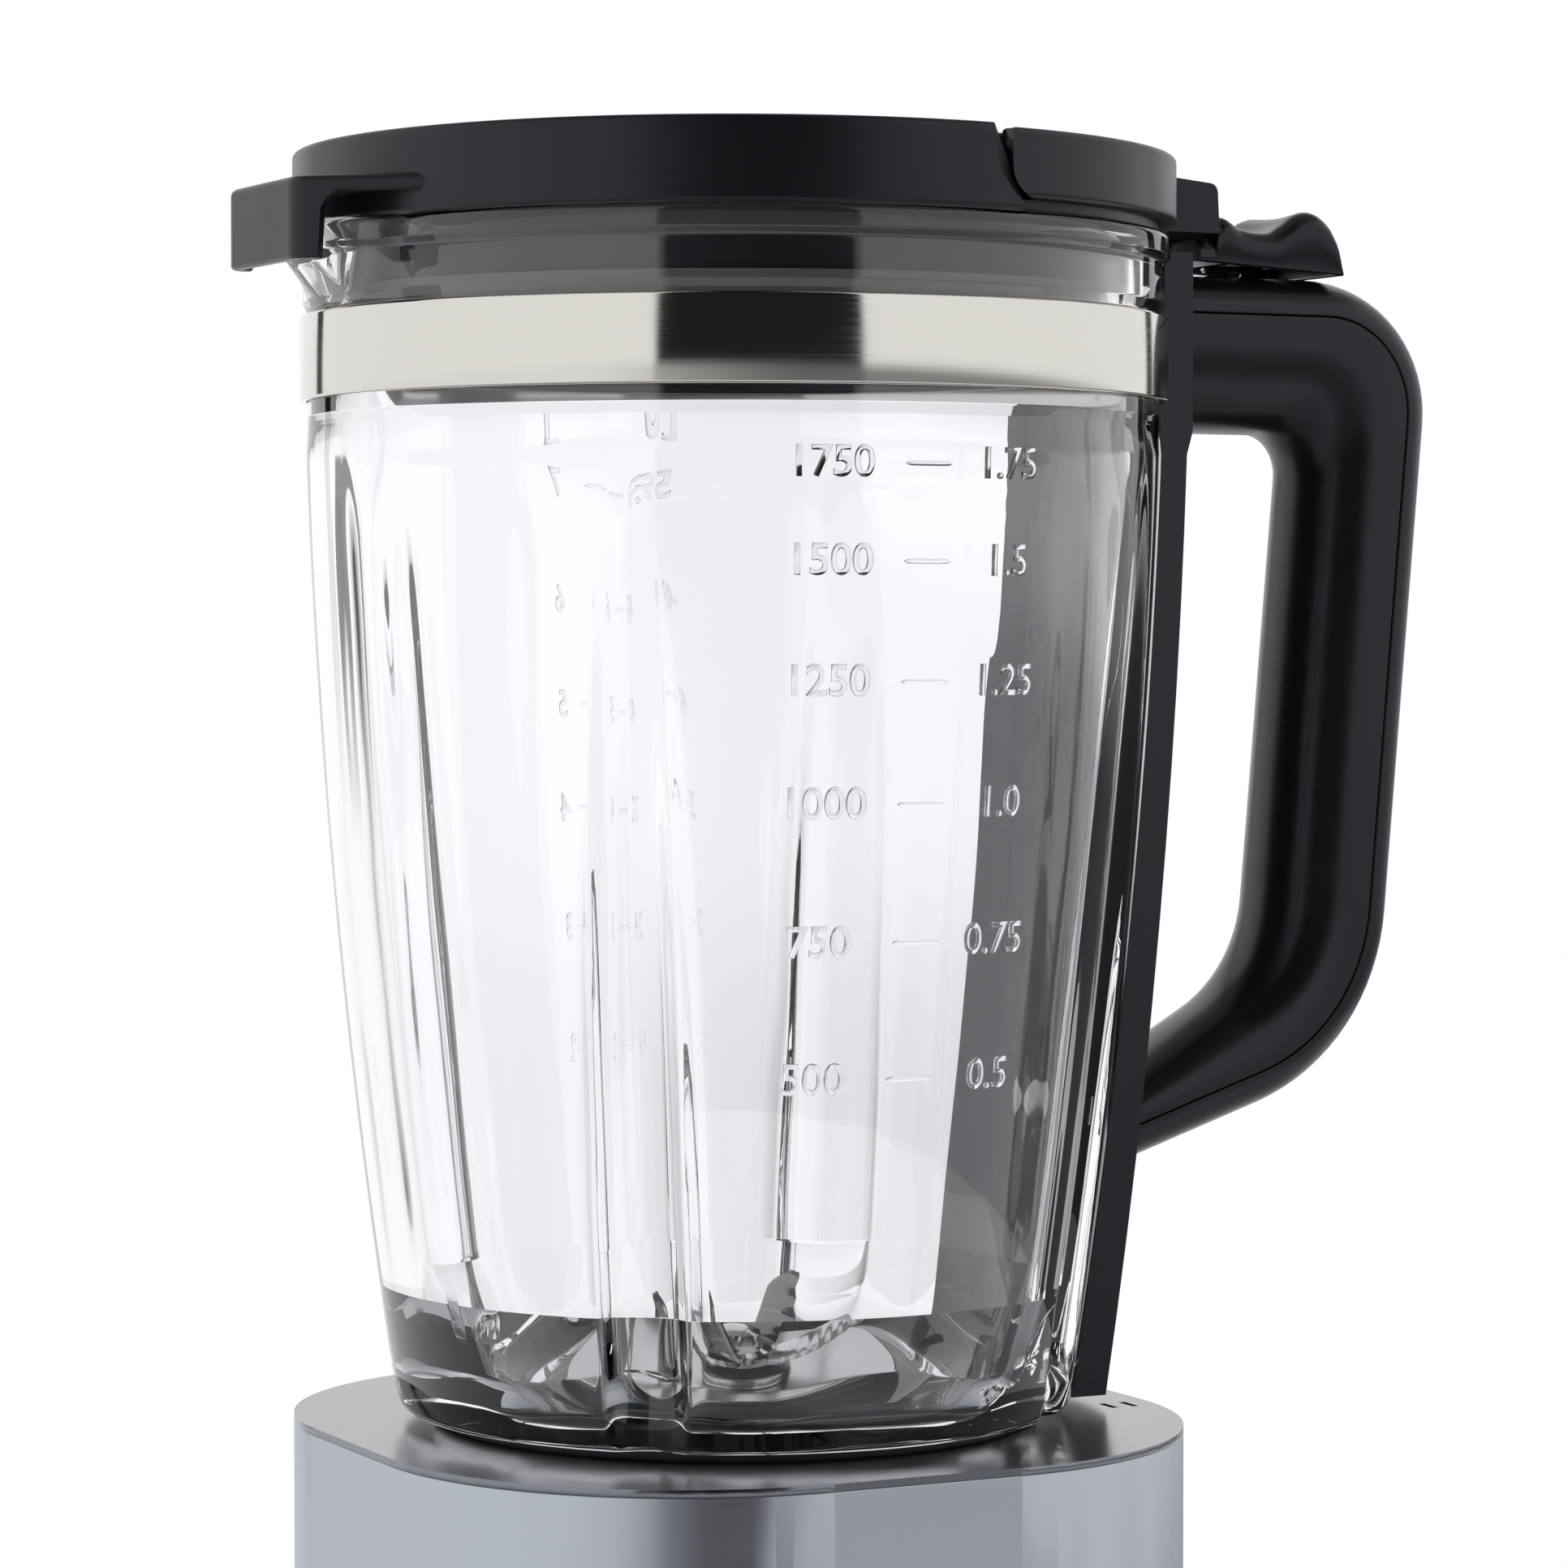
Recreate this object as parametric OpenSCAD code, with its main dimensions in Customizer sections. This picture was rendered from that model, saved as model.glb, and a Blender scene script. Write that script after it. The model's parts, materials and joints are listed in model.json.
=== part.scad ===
// Countertop blender: a fluted glass jar with a handle and a lid, on a motor base.
// Origin: on the common axis of jar and motor, in the plane that the foot ring rests on.
// +Z is up, +X towards the handle, -X towards the spout and -Y towards the user.
// Jar sizes are heights above the base top; on_base() lifts them to where they stand.

/* [Base] */
// Height of the base top above the table
base_h = 185; // [175:1:230]
// Half the width of the base across its flats
base_half = 70.5; // [64:0.5:90]
// Radius of the base's vertical corners
base_corner = 53.6; // [30:0.1:58]
// Wall of the sheet-metal housing
shell_t = 1.4; // [1:0.1:2]
// Edge of the top plate that shows above the housing
top_edge = 1.2; // [0.8:0.1:3]
// Thickness of the top plate inside the housing
top_t = 5; // [4:0.5:8]
// Height of the rubber foot ring
foot_h = 5; // [3:0.5:10]
// Width of the rubber foot ring
foot_w = 8; // [5:0.5:11]
// Thickness of the bottom plate's rim
plinth_t = 2; // [1.5:0.5:4]
// Thickness of the bottom plate inside the housing
plate_t = 4; // [3:0.5:6]

/* [Jar] */
// Height of the glass rim above the base top
rim_h = 201.2; // [195:0.1:240]
// Outer radius of the glass at its foot
foot_glass_r = 57.4; // [56:0.1:64]
// Outer radius of the glass at its shoulder, under the band
shoulder_r = 72.9; // [70:0.1:80]
// How far the flank bows out of a straight cone, half-way up
flank_bow = 2.55; // [0:0.05:4]
// Height of the shoulder
shoulder_h = 165; // [150:1:170]
// Wall of the glass
glass_t = 6; // [4:0.1:7]
// Wall of the glass at the neck
neck_t = 5; // [4:0.1:6]
// Height of the flat glass floor round the blade unit, above the base top
floor_z = -1.5; // [-3:0.1:2]
// Height of the floor where it meets the wall
floor_edge_z = 14; // [10:0.5:20]
// Gap under the glass, filled by the seat pad
seat_gap = 2; // [1:0.1:4]
// Radius of the moulded spigot that drops into the base
spigot_r = 42; // [40:0.5:46]
// Depth of the spigot below the base top
spigot_d = 9; // [7:0.5:12]
// Radius of the hole for the blade unit
jar_hole_r = 20; // [16:0.5:22]
// Radius of a flute's cutter
flute_r = 6; // [4:0.1:8]
// Depth of a flute at its foot
flute_depth = 5; // [2:0.1:6]
// Height at which the flutes fade out
flute_top = 147; // [120:1:155]
// Height of a flute's foot
flute_foot = 8; // [6:0.5:20]
// Angles of the flutes from the handle
flute_angles = [47.5, 130, -130, -47.5];
// Reach of the pouring spout from the axis
spout_reach = 81.5; // [79:0.1:84]

/* [Band] */
// Height of the band's lower edge
band_z = 173; // [170:0.1:178]
// Height of the band
band_h = 14.3; // [8:0.1:18]
// Outer radius of the band
band_r = 74; // [72:0.1:82]
// Thickness of the band
band_t = 1.2; // [0.6:0.1:2]

/* [Handle] */
// Half the width of the spine
spine_half = 22; // [16:0.5:28]
// Thickness of the spine
spine_t = 6.5; // [5:0.1:9]
// Height of the spine's top
spine_top = 200; // [192:0.1:200.5]
// Half the width of the handle, across the grip
handle_half = 13; // [11:0.5:18]
// Reach of the handle's outer corner from the axis
handle_reach = 138.1; // [125:0.1:150]
// Height of the handle's top
handle_top = 197.6; // [190:0.1:198]
// Height of the handle's outer lower corner
handle_foot_z = 57.4; // [45:0.1:80]
// How far the grip leans in, from its top to its foot
handle_lean = 12.5; // [0:0.1:20]
// Width of the grip, seen from the side
grip_w = 23.8; // [20:0.1:34]
// Height of the top arm
arm_h = 28; // [20:0.1:32]
// Depth of the outer cover, from the outer contour to the seam
cover_t = 7; // [4:0.1:9]

/* [Lever] */
// Half the width of the thumb lever
lever_half = 12; // [9:0.5:13]
// Height of the lever's hump above the handle
lever_h = 11.6; // [9:0.1:14]
// Distance of the lever's pin from the axis
pin_x = 111; // [106:0.5:112]
// Height of the lever's pin above the handle's top
pin_up = 4; // [3.5:0.1:5]
// Radius of the lever's pin
pin_r = 1.5; // [1:0.1:2]

/* [Lid] */
// Outer radius of the lid
lid_r = 75.1; // [74:0.1:84]
// Height of the lid's skirt
skirt_h = 13.5; // [10:0.1:18]
// Wall of the lid
lid_t = 2.7; // [2:0.1:4]
// Half-angle of the separate rear part of the skirt
rear_angle = 79; // [50:1:85]
// Depth of the lid's plug below the rim
plug_d = 24; // [14:0.5:30]
// Reach of the spout hood from the axis
hood_reach = 86; // [84:0.1:92]
// Reach of the rear catch tab from the axis
tab_reach = 88; // [84:0.1:88.5]
// Half the width of the catch tab
tab_half = 15; // [10:0.5:18]
// Radius of the filler hole
filler_r = 23; // [16:0.5:28]
// Depth of the filler cap's cup below the lid's top
cup_d = 26; // [18:0.5:32]

/* [Blades] */
// Radius of the blade shaft
shaft_r = 4; // [3:0.5:5]
// Reach of the upper blades' tips from the axis
upper_reach = 20; // [16:0.5:26]
// Rise of the upper blades' tips above their hub
upper_rise = 18; // [10:0.5:22]
// Reach of the lower blades' tips from the axis
lower_reach = 30; // [22:0.5:36]
// Rise of the lower blades' tips above their hub
lower_rise = 5; // [0:0.5:10]
// Thickness of a blade
blade_t = 1.4; // [1:0.1:2]

/* [Motor] */
// Radius of the rotor's core
rotor_r = 21; // [16:0.5:24]
// Length of the rotor's and the stator's cores
core_h = 34; // [24:1:36]
// Half the width of the stator
stator_half = 36; // [32:0.5:38]
// Air gap between rotor and stator
air_gap = 0.5; // [0.4:0.1:1]
// Radius of the motor shaft
motor_shaft_r = 4; // [3:0.5:5]
// Radius of the cooling fan
fan_r = 35; // [28:0.5:36]

/* [Controls] */
// Width of the control panel
panel_w = 56; // [52:1:60]
// Height of the control panel
panel_h = 96; // [92:1:110]
// Height of the panel's lower edge above the table
panel_z = 30; // [26:1:40]
// Radius of the dial
dial_r = 18; // [12:0.5:20]
// Width of a button
button_w = 13; // [9:0.5:14]
// Height of a button
button_h = 9; // [6:0.5:12]
// Travel of a button
button_travel = 1.5; // [1:0.1:1.8]

/* [Clearances] */
// Radial clearance of a running fit
run_fit = 0.04; // [0.02:0.01:0.09]
// Gap between parts of different bodies that must not touch
free_gap = 0.4; // [0.3:0.05:1]
// Gap between parts that are assembled together
fit_gap = 0.2; // [0.1:0.05:0.4]

/* [Hidden] */
$fn = 96;
eps = 0.01;

// Base levels
plate_z = foot_h + plinth_t;
plate_top = plate_z + plate_t;
shell_top = base_h - top_edge;
inner_half = base_half - shell_t - fit_gap;
inner_corner = base_corner - shell_t - fit_gap;
post_r = 4.5;
post_gap = 1.5;
// Tie posts stand on the diagonals, just inside the housing
post_at = inner_half - inner_corner + (inner_corner - post_r - post_gap) / sqrt(2);
// Level at which the upper and the lower half of a tie post meet
post_split = 60;
thread_l = 20;
foot_ring_r = base_half - 12;
foot_plug_r = 3;
screw_r = 2;
head_r = 3.6;
head_t = 2.6;
head_well = 3;
// Air slots in the bottom plate: how many on each side of the middle one, and their sizes
slot_count = 4;
slot_pitch = 6;
slot_w = 3;
slot_l = 44;
// Two small marks beside the handle
mark_at = [61, 65];
mark_size = [1.2, 5];
mark_y = -24;
mark_d = 0.4;
// Cord inlet: a grommet whose neck sits in an eight-sided hole, so that it cannot turn
inlet_z = 26;
inlet_neck_r = 8;
inlet_flange_r = 11;
inlet_lip_r = 10;
inlet_flange_t = 3;
inlet_depth = 11;
cord_r = 3.7;
terminal_size = [28, 10, 13];
terminal_hole_r = 1.8;
terminal_pitch = 9;
sensor_size = 10;
sensor_h = 8;

// Seat well and coupling well, below the base top
well_r = spigot_r + 1.5;
well_wall = 2.5;
nut_t = 6;
washer_t = 1;
nut_r = 34;
well_floor = -(spigot_d + washer_t + nut_t + 2);
coupling_r = 19;
coupling_well_r = coupling_r + 3;
coupling_floor = well_floor - 24;
motor_top = coupling_floor - 3;
hex_r = 12;
coupling_top = well_floor - 2;
socket_floor = coupling_top - 11;
coupling_foot = coupling_floor + 1;

// Blade unit, above the base top
gasket_t = 1.2;
flange_t = 1.5;
flange_r = 28;
barrel_r = jar_hole_r - 0.5;
barrel_foot = well_floor + 1;
boss_top = floor_z + gasket_t + flange_t + 1.6;
bush_r = shaft_r + 4;
bush_h = 7;
hub_z = boss_top + 0.6;
nut_z = hub_z + 2 * blade_t;
nut_h = 3.2;
blade_nut_r = 5;
lower_width = 11;
lower_turn = -32;
lower_hub = 8.4;
lower_root = 7.4;
upper_width = 10;
upper_turn = 28;
upper_hub = 7;
upper_root = 5.6;
coupling_tail = socket_floor + 1;

// Motor levels, below the base top
mount_post_d = 4;
mount_post_r = 5;
mount_hole_r = 1.6;
mount_t = 2;
seal_r = 9;
bracket_t = 4;
mount_at = 30;
bolt_at = stator_half - 9;
bolt_r = 2.2;
bracket_z = motor_top - mount_post_d - mount_t - bracket_t;
bearing_h = 7;
bearing_r = 11;
commutator_r = 11;
commutator_h = 10;
commutator_z = bracket_z - bearing_h - 3 - commutator_h;
coil_h = 7;
stator_z = commutator_z - coil_h - 1 - core_h;
lower_z = stator_z - coil_h - 5 - bracket_t;
fan_h = 9;
fan_z = lower_z - fan_h - 3;

// Glass
neck_z = shoulder_h + 6;
band_seat_r = band_r - band_t - fit_gap;
neck_r = band_r - 0.6;
rim_r = band_r + 0.3;
neck_in_r = band_seat_r - neck_t;
// Spout, seen from above: [distance from the axis, half width] at its root, its waist and its lip
spout_root = [66, 20];
spout_waist = [72, 18];
spout_lip = [spout_reach, 7];
spout_h = 8;
spout_wall = 3;
channel_d = 5.5;
flute_lean = atan2(jar_r(flute_top) + flute_r - (jar_r(flute_foot) + flute_r - flute_depth),
                   flute_top - flute_foot);
rib_wall = 5;

// Handle outline
lean_slope = handle_lean / (handle_top - handle_foot_z);
lower_slope = 0.33;
arm_foot_z = handle_top - arm_h;
spine_gap = 0.4;
liner_t = 0.8;
liner_half = 7;
liner_low = 20;
liner_high = shoulder_h - 5;
magnet_r = 2.4;
magnet_h = 4;
magnet_x = jar_r(seat_gap) + spine_gap + spine_t / 2;
screw_levels = [51, handle_top - 6.6];
slot_levels = [56, 126];
handle_head_r = 3.6;
handle_thread_r = 1.9;
seam_r = [17, 33];
cover_r = [24, 40];
// Inner contour of the handle: the height at which the grip turns into the lower arm, and that arm's slope
crook_z = 73.5;
crook_slope = 0.6;
crook_r = [8, 25];
// The outlines run inwards to this place, where the spine cuts them off
inside_x = 60;
ear_y = 5;
ear_t = 2.5;

// Lid levels
lid_z = rim_h;
lid_top = rim_h + skirt_h;
disc_t = 3;
disc_z = lid_top - 1.2 - disc_t;
skirt_step = lid_t + 0.3;
tab_z = rim_h + 3;
tab_h = 8.8;
plug_r = neck_in_r - 2;
// Spout hood, seen from above: [distance from the axis, half width] at its root, its waist and its lip
hood_root = [62, 30];
hood_waist = [70, 28];
hood_lip = [hood_reach, 13];
hood_wall = 2.4;
hood_z = rim_h - 7.2;
hood_h = 13.3;

// Lever levels
lever_z = handle_top + 2;
lever_front = tab_reach + 0.5;
lever_back = pin_x + 4.3;
pin_z = handle_top + pin_up;
lever_top = handle_top + lever_h;
saddle_z = lever_top - 4.2;
// Ends of the finger saddle in the lever's top
saddle_x = [95, 101.5];
hump_x = 105.5;
roof = 2.2;
nose_top = tab_z - 0.6;
nose_x = lever_front - 3;
spring_x = 97;
spring_r = 3.2;
pocket_r = spring_r + 0.8;
pocket_z = handle_top - cover_t + 1.5;
wire_r = 0.45;
spring_turns = 5;
spring_z1 = pocket_z + wire_r;
spring_z2 = saddle_z - roof - wire_r - 0.1;

// Controls
panel_y = base_half + 2;
panel_back = base_half - 7;
dial_z = panel_z + 62;
dial_d = 15;
button_z = panel_z + 20;
button_pitch = 17;
button_corner = 2;
button_rim = 1.2;
button_rim_t = 1.5;
stem_r = 1.5;
stem_end = 2.2;
panel_corner = 10;
panel_post_r = 2.5;
ring_inner = dial_r + 1;
ring_outer = dial_r + 3.5;
ring_t = 2.5;
dial_foot = 0.5;
grooves = 12;
groove_r = 2.5;
groove_at = dial_r + 1.4;
dial_flange = 5;
dial_shaft_r = 3;
board_y = panel_back - 7.5;
board_t = 1.6;
board_hole_r = 5;
push_switch = 6;
speed_switch_size = 26;
speed_switch_d = 13;

function jar_r(z) = let (t = z / shoulder_h)
  foot_glass_r + (shoulder_r - foot_glass_r) * t + 4 * flank_bow * t * (1 - t);
function unit(v) = v / norm(v);
// Points of an arc of radius r that rounds the corner b between a and c
function fillet(a, b, c, r, n = 8) = let (
    u = unit(a - b), v = unit(c - b), half = acos(u * v) / 2,
    centre = b + unit(u + v) * r / sin(half),
    p = b + u * r / tan(half) - centre, q = b + v * r / tan(half) - centre,
    start = atan2(p.y, p.x), turn = (atan2(q.y, q.x) - start + 540) % 360 - 180)
  [for (i = [0:n]) centre + r * [cos(start + turn * i / n), sin(start + turn * i / n)]];
// Closed outline whose corners [x, y, radius] are rounded
function rounded(c) = let (n = len(c)) [for (i = [0:n - 1])
  let (a = c[(i + n - 1) % n], b = c[i], d = c[(i + 1) % n])
  each (b.z == 0 ? [[b.x, b.y]] : fillet([a.x, a.y], [b.x, b.y], [d.x, d.y], b.z))];
// Contour of the handle, moved inwards by d, from the top at the spine to the foot
function grip_x(z, d) = handle_reach - (handle_top - z) * lean_slope - d;
function lower_z(x) = handle_foot_z + (x - grip_x(handle_foot_z, 0)) * lower_slope;
function contour(d, r) = let (
    z1 = handle_top - d, x2 = grip_x(handle_foot_z + d, d), rise = d / cos(atan(lower_slope)))
  [[inside_x, z1, 0], [grip_x(z1, d), z1, r.x], [x2, lower_z(x2) + rise, r.y],
   [inside_x, lower_z(inside_x) + rise, 0]];

module on_base() { translate([0, 0, base_h]) children(); }
module ring(r1, r2, z1, z2) {
  translate([0, 0, z1]) difference() {
    cylinder(r = r2, h = z2 - z1);
    translate([0, 0, -1]) cylinder(r = r1, h = z2 - z1 + 2);
  }
}
module disc(r, z1, z2) { translate([0, 0, z1]) cylinder(r = r, h = z2 - z1); }
module plan(half, corner) {
  square([2 * half, 2 * (half - corner)], center = true);
  square([2 * (half - corner), 2 * half], center = true);
  for (x = [-1, 1], y = [-1, 1]) translate([x, y] * (half - corner)) circle(corner);
}
module slab(half, corner, z1, z2) {
  translate([0, 0, z1]) linear_extrude(z2 - z1) plan(half, corner);
}
module diagonal(at) { for (x = [-1, 1], y = [-1, 1]) translate([x * at, y * at, 0]) children(); }
module crosswise(at) { for (a = [0:90:270]) rotate(a) translate([at, 0, 0]) children(); }
// A side outline, drawn in X and Z, as a plate from -half to +half in Y
module side_plate(half) {
  translate([0, half, 0]) rotate([90, 0, 0]) linear_extrude(2 * half) children();
}
// A front outline, drawn in X and Z, from y1 back to y2 on the user's side
module front_plate(y1, y2) {
  translate([0, -y2, 0]) rotate([90, 0, 0]) linear_extrude(y1 - y2) children();
}
module front_pin(r, x, z, y1, y2) {
  translate([x, -y2, z]) rotate([90, 0, 0]) cylinder(r = r, h = y1 - y2);
}
module box_xyz(x1, x2, y1, y2, z1, z2) {
  translate([x1, y1, z1]) cube([x2 - x1, y2 - y1, z2 - z1]);
}

// ---- Base ----
module panel_outline(gap) {
  w = panel_w / 2 + gap;
  polygon(rounded([[-w, panel_z - gap, panel_corner], [w, panel_z - gap, panel_corner],
    [w, panel_z + panel_h + gap, panel_corner], [-w, panel_z + panel_h + gap, panel_corner]]));
}
module base_housing() {
  color("silver") difference() {
    slab(base_half, base_corner, plate_z, shell_top);
    slab(base_half - shell_t, base_corner - shell_t, plate_z - 1, shell_top + 1);
    front_plate(base_half + 5, base_half - 12) panel_outline(fit_gap);
    translate([0, base_half + 1, inlet_z]) rotate([90, 0, 0]) rotate(22.5)
      cylinder(r = (inlet_neck_r + 0.1) / cos(22.5), h = 5, $fn = 8);
  }
}
module base_top() {
  color("dimgray") on_base() difference() {
    union() {
      slab(base_half, base_corner, -top_edge, 0);
      slab(inner_half, inner_corner, -top_t, -top_edge + eps);
      disc(well_r + well_wall, well_floor - 3, -top_t + eps);
      disc(coupling_well_r + well_wall, motor_top, well_floor);
      crosswise(mount_at) disc(mount_post_r, motor_top - mount_post_d, well_floor - 1);
      diagonal(post_at) disc(post_r, post_split - base_h, -top_t + eps);
    }
    disc(well_r, well_floor, 1);
    disc(coupling_well_r, coupling_floor, 1);
    disc(seal_r, motor_top - 1, coupling_floor + 1);
    crosswise(mount_at) disc(mount_hole_r, motor_top - mount_post_d - 1, motor_top + 8);
    diagonal(post_at) disc(screw_r, post_split - base_h - 1, post_split - base_h + thread_l + 2);
    for (x = mark_at) box_xyz(x, x + mark_size.x, mark_y, mark_y + mark_size.y, -mark_d, 1);
  }
}
module base_plate() {
  color("dimgray") difference() {
    union() {
      slab(base_half, base_corner, foot_h, plate_z);
      slab(inner_half, inner_corner, plate_z - eps, plate_top);
      diagonal(post_at) disc(post_r, plate_top - eps, post_split);
    }
    diagonal(post_at) {
      disc(screw_r + fit_gap, foot_h - 1, post_split + 1);
      disc(head_r + 2 * fit_gap - eps, foot_h - 1, foot_h + head_well);
    }
    crosswise(foot_ring_r - foot_w / 2) disc(foot_plug_r, foot_h - 1, plate_top + 1);
    for (i = [-slot_count:slot_count]) translate([0, i * slot_pitch, 0])
      box_xyz(-slot_l / 2, slot_l / 2, -slot_w / 2, slot_w / 2, foot_h - 1, plate_top + 1);
  }
}
module foot_ring() {
  color("black") {
    ring(foot_ring_r - foot_w, foot_ring_r, 0, foot_h);
    crosswise(foot_ring_r - foot_w / 2) disc(foot_plug_r - 0.1, foot_h - eps, plate_top);
  }
}
module base_screws() {
  color("silver") diagonal(post_at) {
    disc(head_r, foot_h + head_well - head_t, foot_h + head_well);
    disc(screw_r - 0.1, foot_h + head_well - eps, post_split + thread_l);
  }
}
module seat_pad() {
  color("black") on_base() ring(well_r + 1, well_r + 8, 0, seat_gap - eps);
}
module cord_inlet() {
  color("black") translate([0, 0, inlet_z]) rotate([-90, 0, 0]) difference() {
    union() {
      disc(inlet_flange_r, base_half, base_half + inlet_flange_t);
      disc(inlet_neck_r, base_half - inlet_depth, base_half + eps);
      disc(inlet_lip_r, base_half - inlet_depth, base_half - shell_t - 0.1);
    }
    disc(cord_r, base_half - inlet_depth - 1, base_half + inlet_flange_t + 1);
  }
}
module terminal_block() {
  color("ivory") difference() {
    box_xyz(-terminal_size.x / 2, terminal_size.x / 2, fan_r + 7, fan_r + 7 + terminal_size.y,
            plate_top, plate_top + terminal_size.z);
    for (i = [-1:1]) translate([i * terminal_pitch, fan_r + 7 + terminal_size.y / 2, 0])
      disc(terminal_hole_r, plate_top + 5, plate_top + terminal_size.z + 1);
  }
}
module jar_sensor() {
  color("darkslategray") on_base() box_xyz(well_r + 10, well_r + 10 + sensor_size,
    -sensor_size / 2, sensor_size / 2, -top_t - sensor_h, -top_t);
}

// ---- Controls ----
module button_outline(x, gap) {
  w = button_w / 2 + gap;
  h = button_h / 2 + gap;
  translate([x, button_z]) polygon(rounded([[-w, -h, button_corner], [w, -h, button_corner],
                                            [w, h, button_corner], [-w, h, button_corner]]));
}
module control_panel() {
  color("dimgray") difference() {
    union() {
      front_plate(panel_y, panel_back) panel_outline(0);
      for (x = [-1, 1], z = [panel_z + 8, panel_z + panel_h - 8])
        front_pin(panel_post_r, x * (panel_w / 2 - 6), z, panel_back + eps, board_y);
    }
    for (i = [-1:1]) front_plate(panel_y + 1, panel_back - 1)
      button_outline(i * button_pitch, free_gap);
    front_pin(dial_shaft_r + run_fit, 0, dial_z, panel_y + 1, panel_back - 1);
  }
}
module dial_ring() {
  color("silver") translate([0, 0, dial_z]) rotate([90, 0, 0])
    ring(ring_inner, ring_outer, panel_y, panel_y + ring_t);
}
module control_dial() {
  color("dimgray") {
    difference() {
      front_pin(dial_r, 0, dial_z, panel_y + dial_d, panel_y + dial_foot);
      for (i = [1:grooves]) translate([0, 0, dial_z]) rotate([0, i * 360 / grooves, 0])
        front_pin(groove_r, groove_at, 0, panel_y + dial_d + 1, panel_y + dial_flange);
    }
    front_pin(dial_shaft_r, 0, dial_z, panel_y + 1, board_y - board_t - 5);
  }
}
module button(i) {
  color("dimgray") {
    front_plate(panel_y + 2.5, panel_back - eps) button_outline(i * button_pitch, 0);
    front_plate(panel_back, panel_back - button_rim_t) button_outline(i * button_pitch, button_rim);
    front_pin(stem_r, i * button_pitch, button_z, panel_back - 1, panel_back - stem_end);
  }
}
module button_left() { button(-1); }
module button_middle() { button(0); }
module button_right() { button(1); }
// The board carries one small push switch behind each button
module control_board() {
  w = panel_w / 2 - 2;
  switch_y = panel_back - stem_end - button_travel - free_gap;
  color("darkgreen") difference() {
    union() {
      front_plate(board_y, board_y - board_t)
        translate([-w, panel_z + 4]) square([2 * w, panel_h - 8]);
      for (i = [-1:1]) front_plate(switch_y, board_y - eps)
        translate([i * button_pitch, button_z]) square(push_switch, center = true);
    }
    front_pin(board_hole_r, 0, dial_z, board_y + 1, board_y - board_t - 1);
  }
}
module speed_switch() {
  y = board_y - board_t;
  color("ivory") difference() {
    front_plate(y, y - speed_switch_d) translate([0, dial_z]) square(speed_switch_size, center = true);
    front_pin(dial_shaft_r + run_fit, 0, dial_z, y + 1, y - 6);
  }
}

// ---- Motor ----
module stator_core() {
  color("gray") on_base() difference() {
    slab(stator_half, 12, stator_z, stator_z + core_h);
    disc(rotor_r + air_gap, stator_z - 1, stator_z + core_h + 1);
    diagonal(bolt_at) disc(bolt_r, stator_z - 1, stator_z + core_h + 1);
  }
}
module field_coils() {
  color("peru") on_base() for (side = [0, 180], z = [stator_z - coil_h, stator_z + core_h])
    rotate(side - 50) rotate_extrude(angle = 100)
      translate([rotor_r + 2, z]) square([stator_half - rotor_r - 5, coil_h]);
}
module bracket(z, boss_z1, boss_z2, bore_r) {
  difference() {
    union() {
      slab(stator_half, 12, z, z + bracket_t);
      disc(bearing_r + 3, boss_z1, boss_z2);
      diagonal(bolt_at) disc(4.5, min(z, stator_z + core_h), max(z + bracket_t, stator_z));
    }
    disc(bearing_r, boss_z1 - 1, boss_z1 + bearing_h);
    disc(bore_r, boss_z1 - 1, max(z + bracket_t, boss_z2) + 1);
    diagonal(bolt_at) disc(bolt_r, lower_z - 1, bracket_z + bracket_t + 1);
    crosswise(mount_at) disc(2.2, z - 1, z + bracket_t + 1);
  }
}
module upper_bracket() {
  color("lightgray") on_base()
    bracket(bracket_z, bracket_z - bearing_h, bracket_z + eps, motor_shaft_r + 2);
}
module lower_bracket() {
  color("lightgray") on_base()
    bracket(lower_z, lower_z, lower_z + bearing_h + 2, motor_shaft_r + 2);
}
module motor_bearings() {
  color("silver") on_base() for (z = [bracket_z - bearing_h, lower_z])
    ring(motor_shaft_r + run_fit, bearing_r, z, z + bearing_h);
}
module motor_bolts() {
  color("silver") on_base() diagonal(bolt_at) {
    disc(bolt_r - 0.1, lower_z - 2, bracket_z + bracket_t);
    disc(3.8, bracket_z + bracket_t, bracket_z + bracket_t + 2.4);
    disc(3.6, lower_z - 2, lower_z);
  }
}
module motor_mounts() {
  color("black") on_base() crosswise(mount_at)
    ring(2, 5, bracket_z + bracket_t, bracket_z + bracket_t + mount_t);
}
module mount_screws() {
  color("silver") on_base() crosswise(mount_at) {
    disc(1.5, bracket_z, motor_top + 6);
    disc(3.4, bracket_z - 2.2, bracket_z);
  }
}
module brush_holders() {
  inner = commutator_r + 6;
  color("khaki") on_base() for (side = [90, 270]) rotate(side) difference() {
    box_xyz(inner, inner + 9, -5, 5, commutator_z, bracket_z);
    box_xyz(inner - 1, inner + 7, -3, 3, commutator_z + 1.5, commutator_z + 8.5);
  }
}
module carbon_brushes() {
  inner = commutator_r + free_gap;
  color("black") on_base() for (side = [90, 270]) rotate(side)
    box_xyz(inner, inner + 12, -3 + fit_gap, 3 - fit_gap, commutator_z + 1.7, commutator_z + 8.3);
}
module fan_shroud() {
  color("dimgray") difference() {
    disc(fan_r + 4, plate_top, base_h + lower_z - 2.5);
    disc(fan_r + 2, plate_top - 1, base_h + lower_z);
  }
}
module well_seal() {
  color("black") on_base() ring(motor_shaft_r + run_fit, seal_r, motor_top, coupling_floor);
}
module motor_shaft() {
  color("silver") on_base() disc(motor_shaft_r, fan_z - 1, socket_floor - 1);
}
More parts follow.
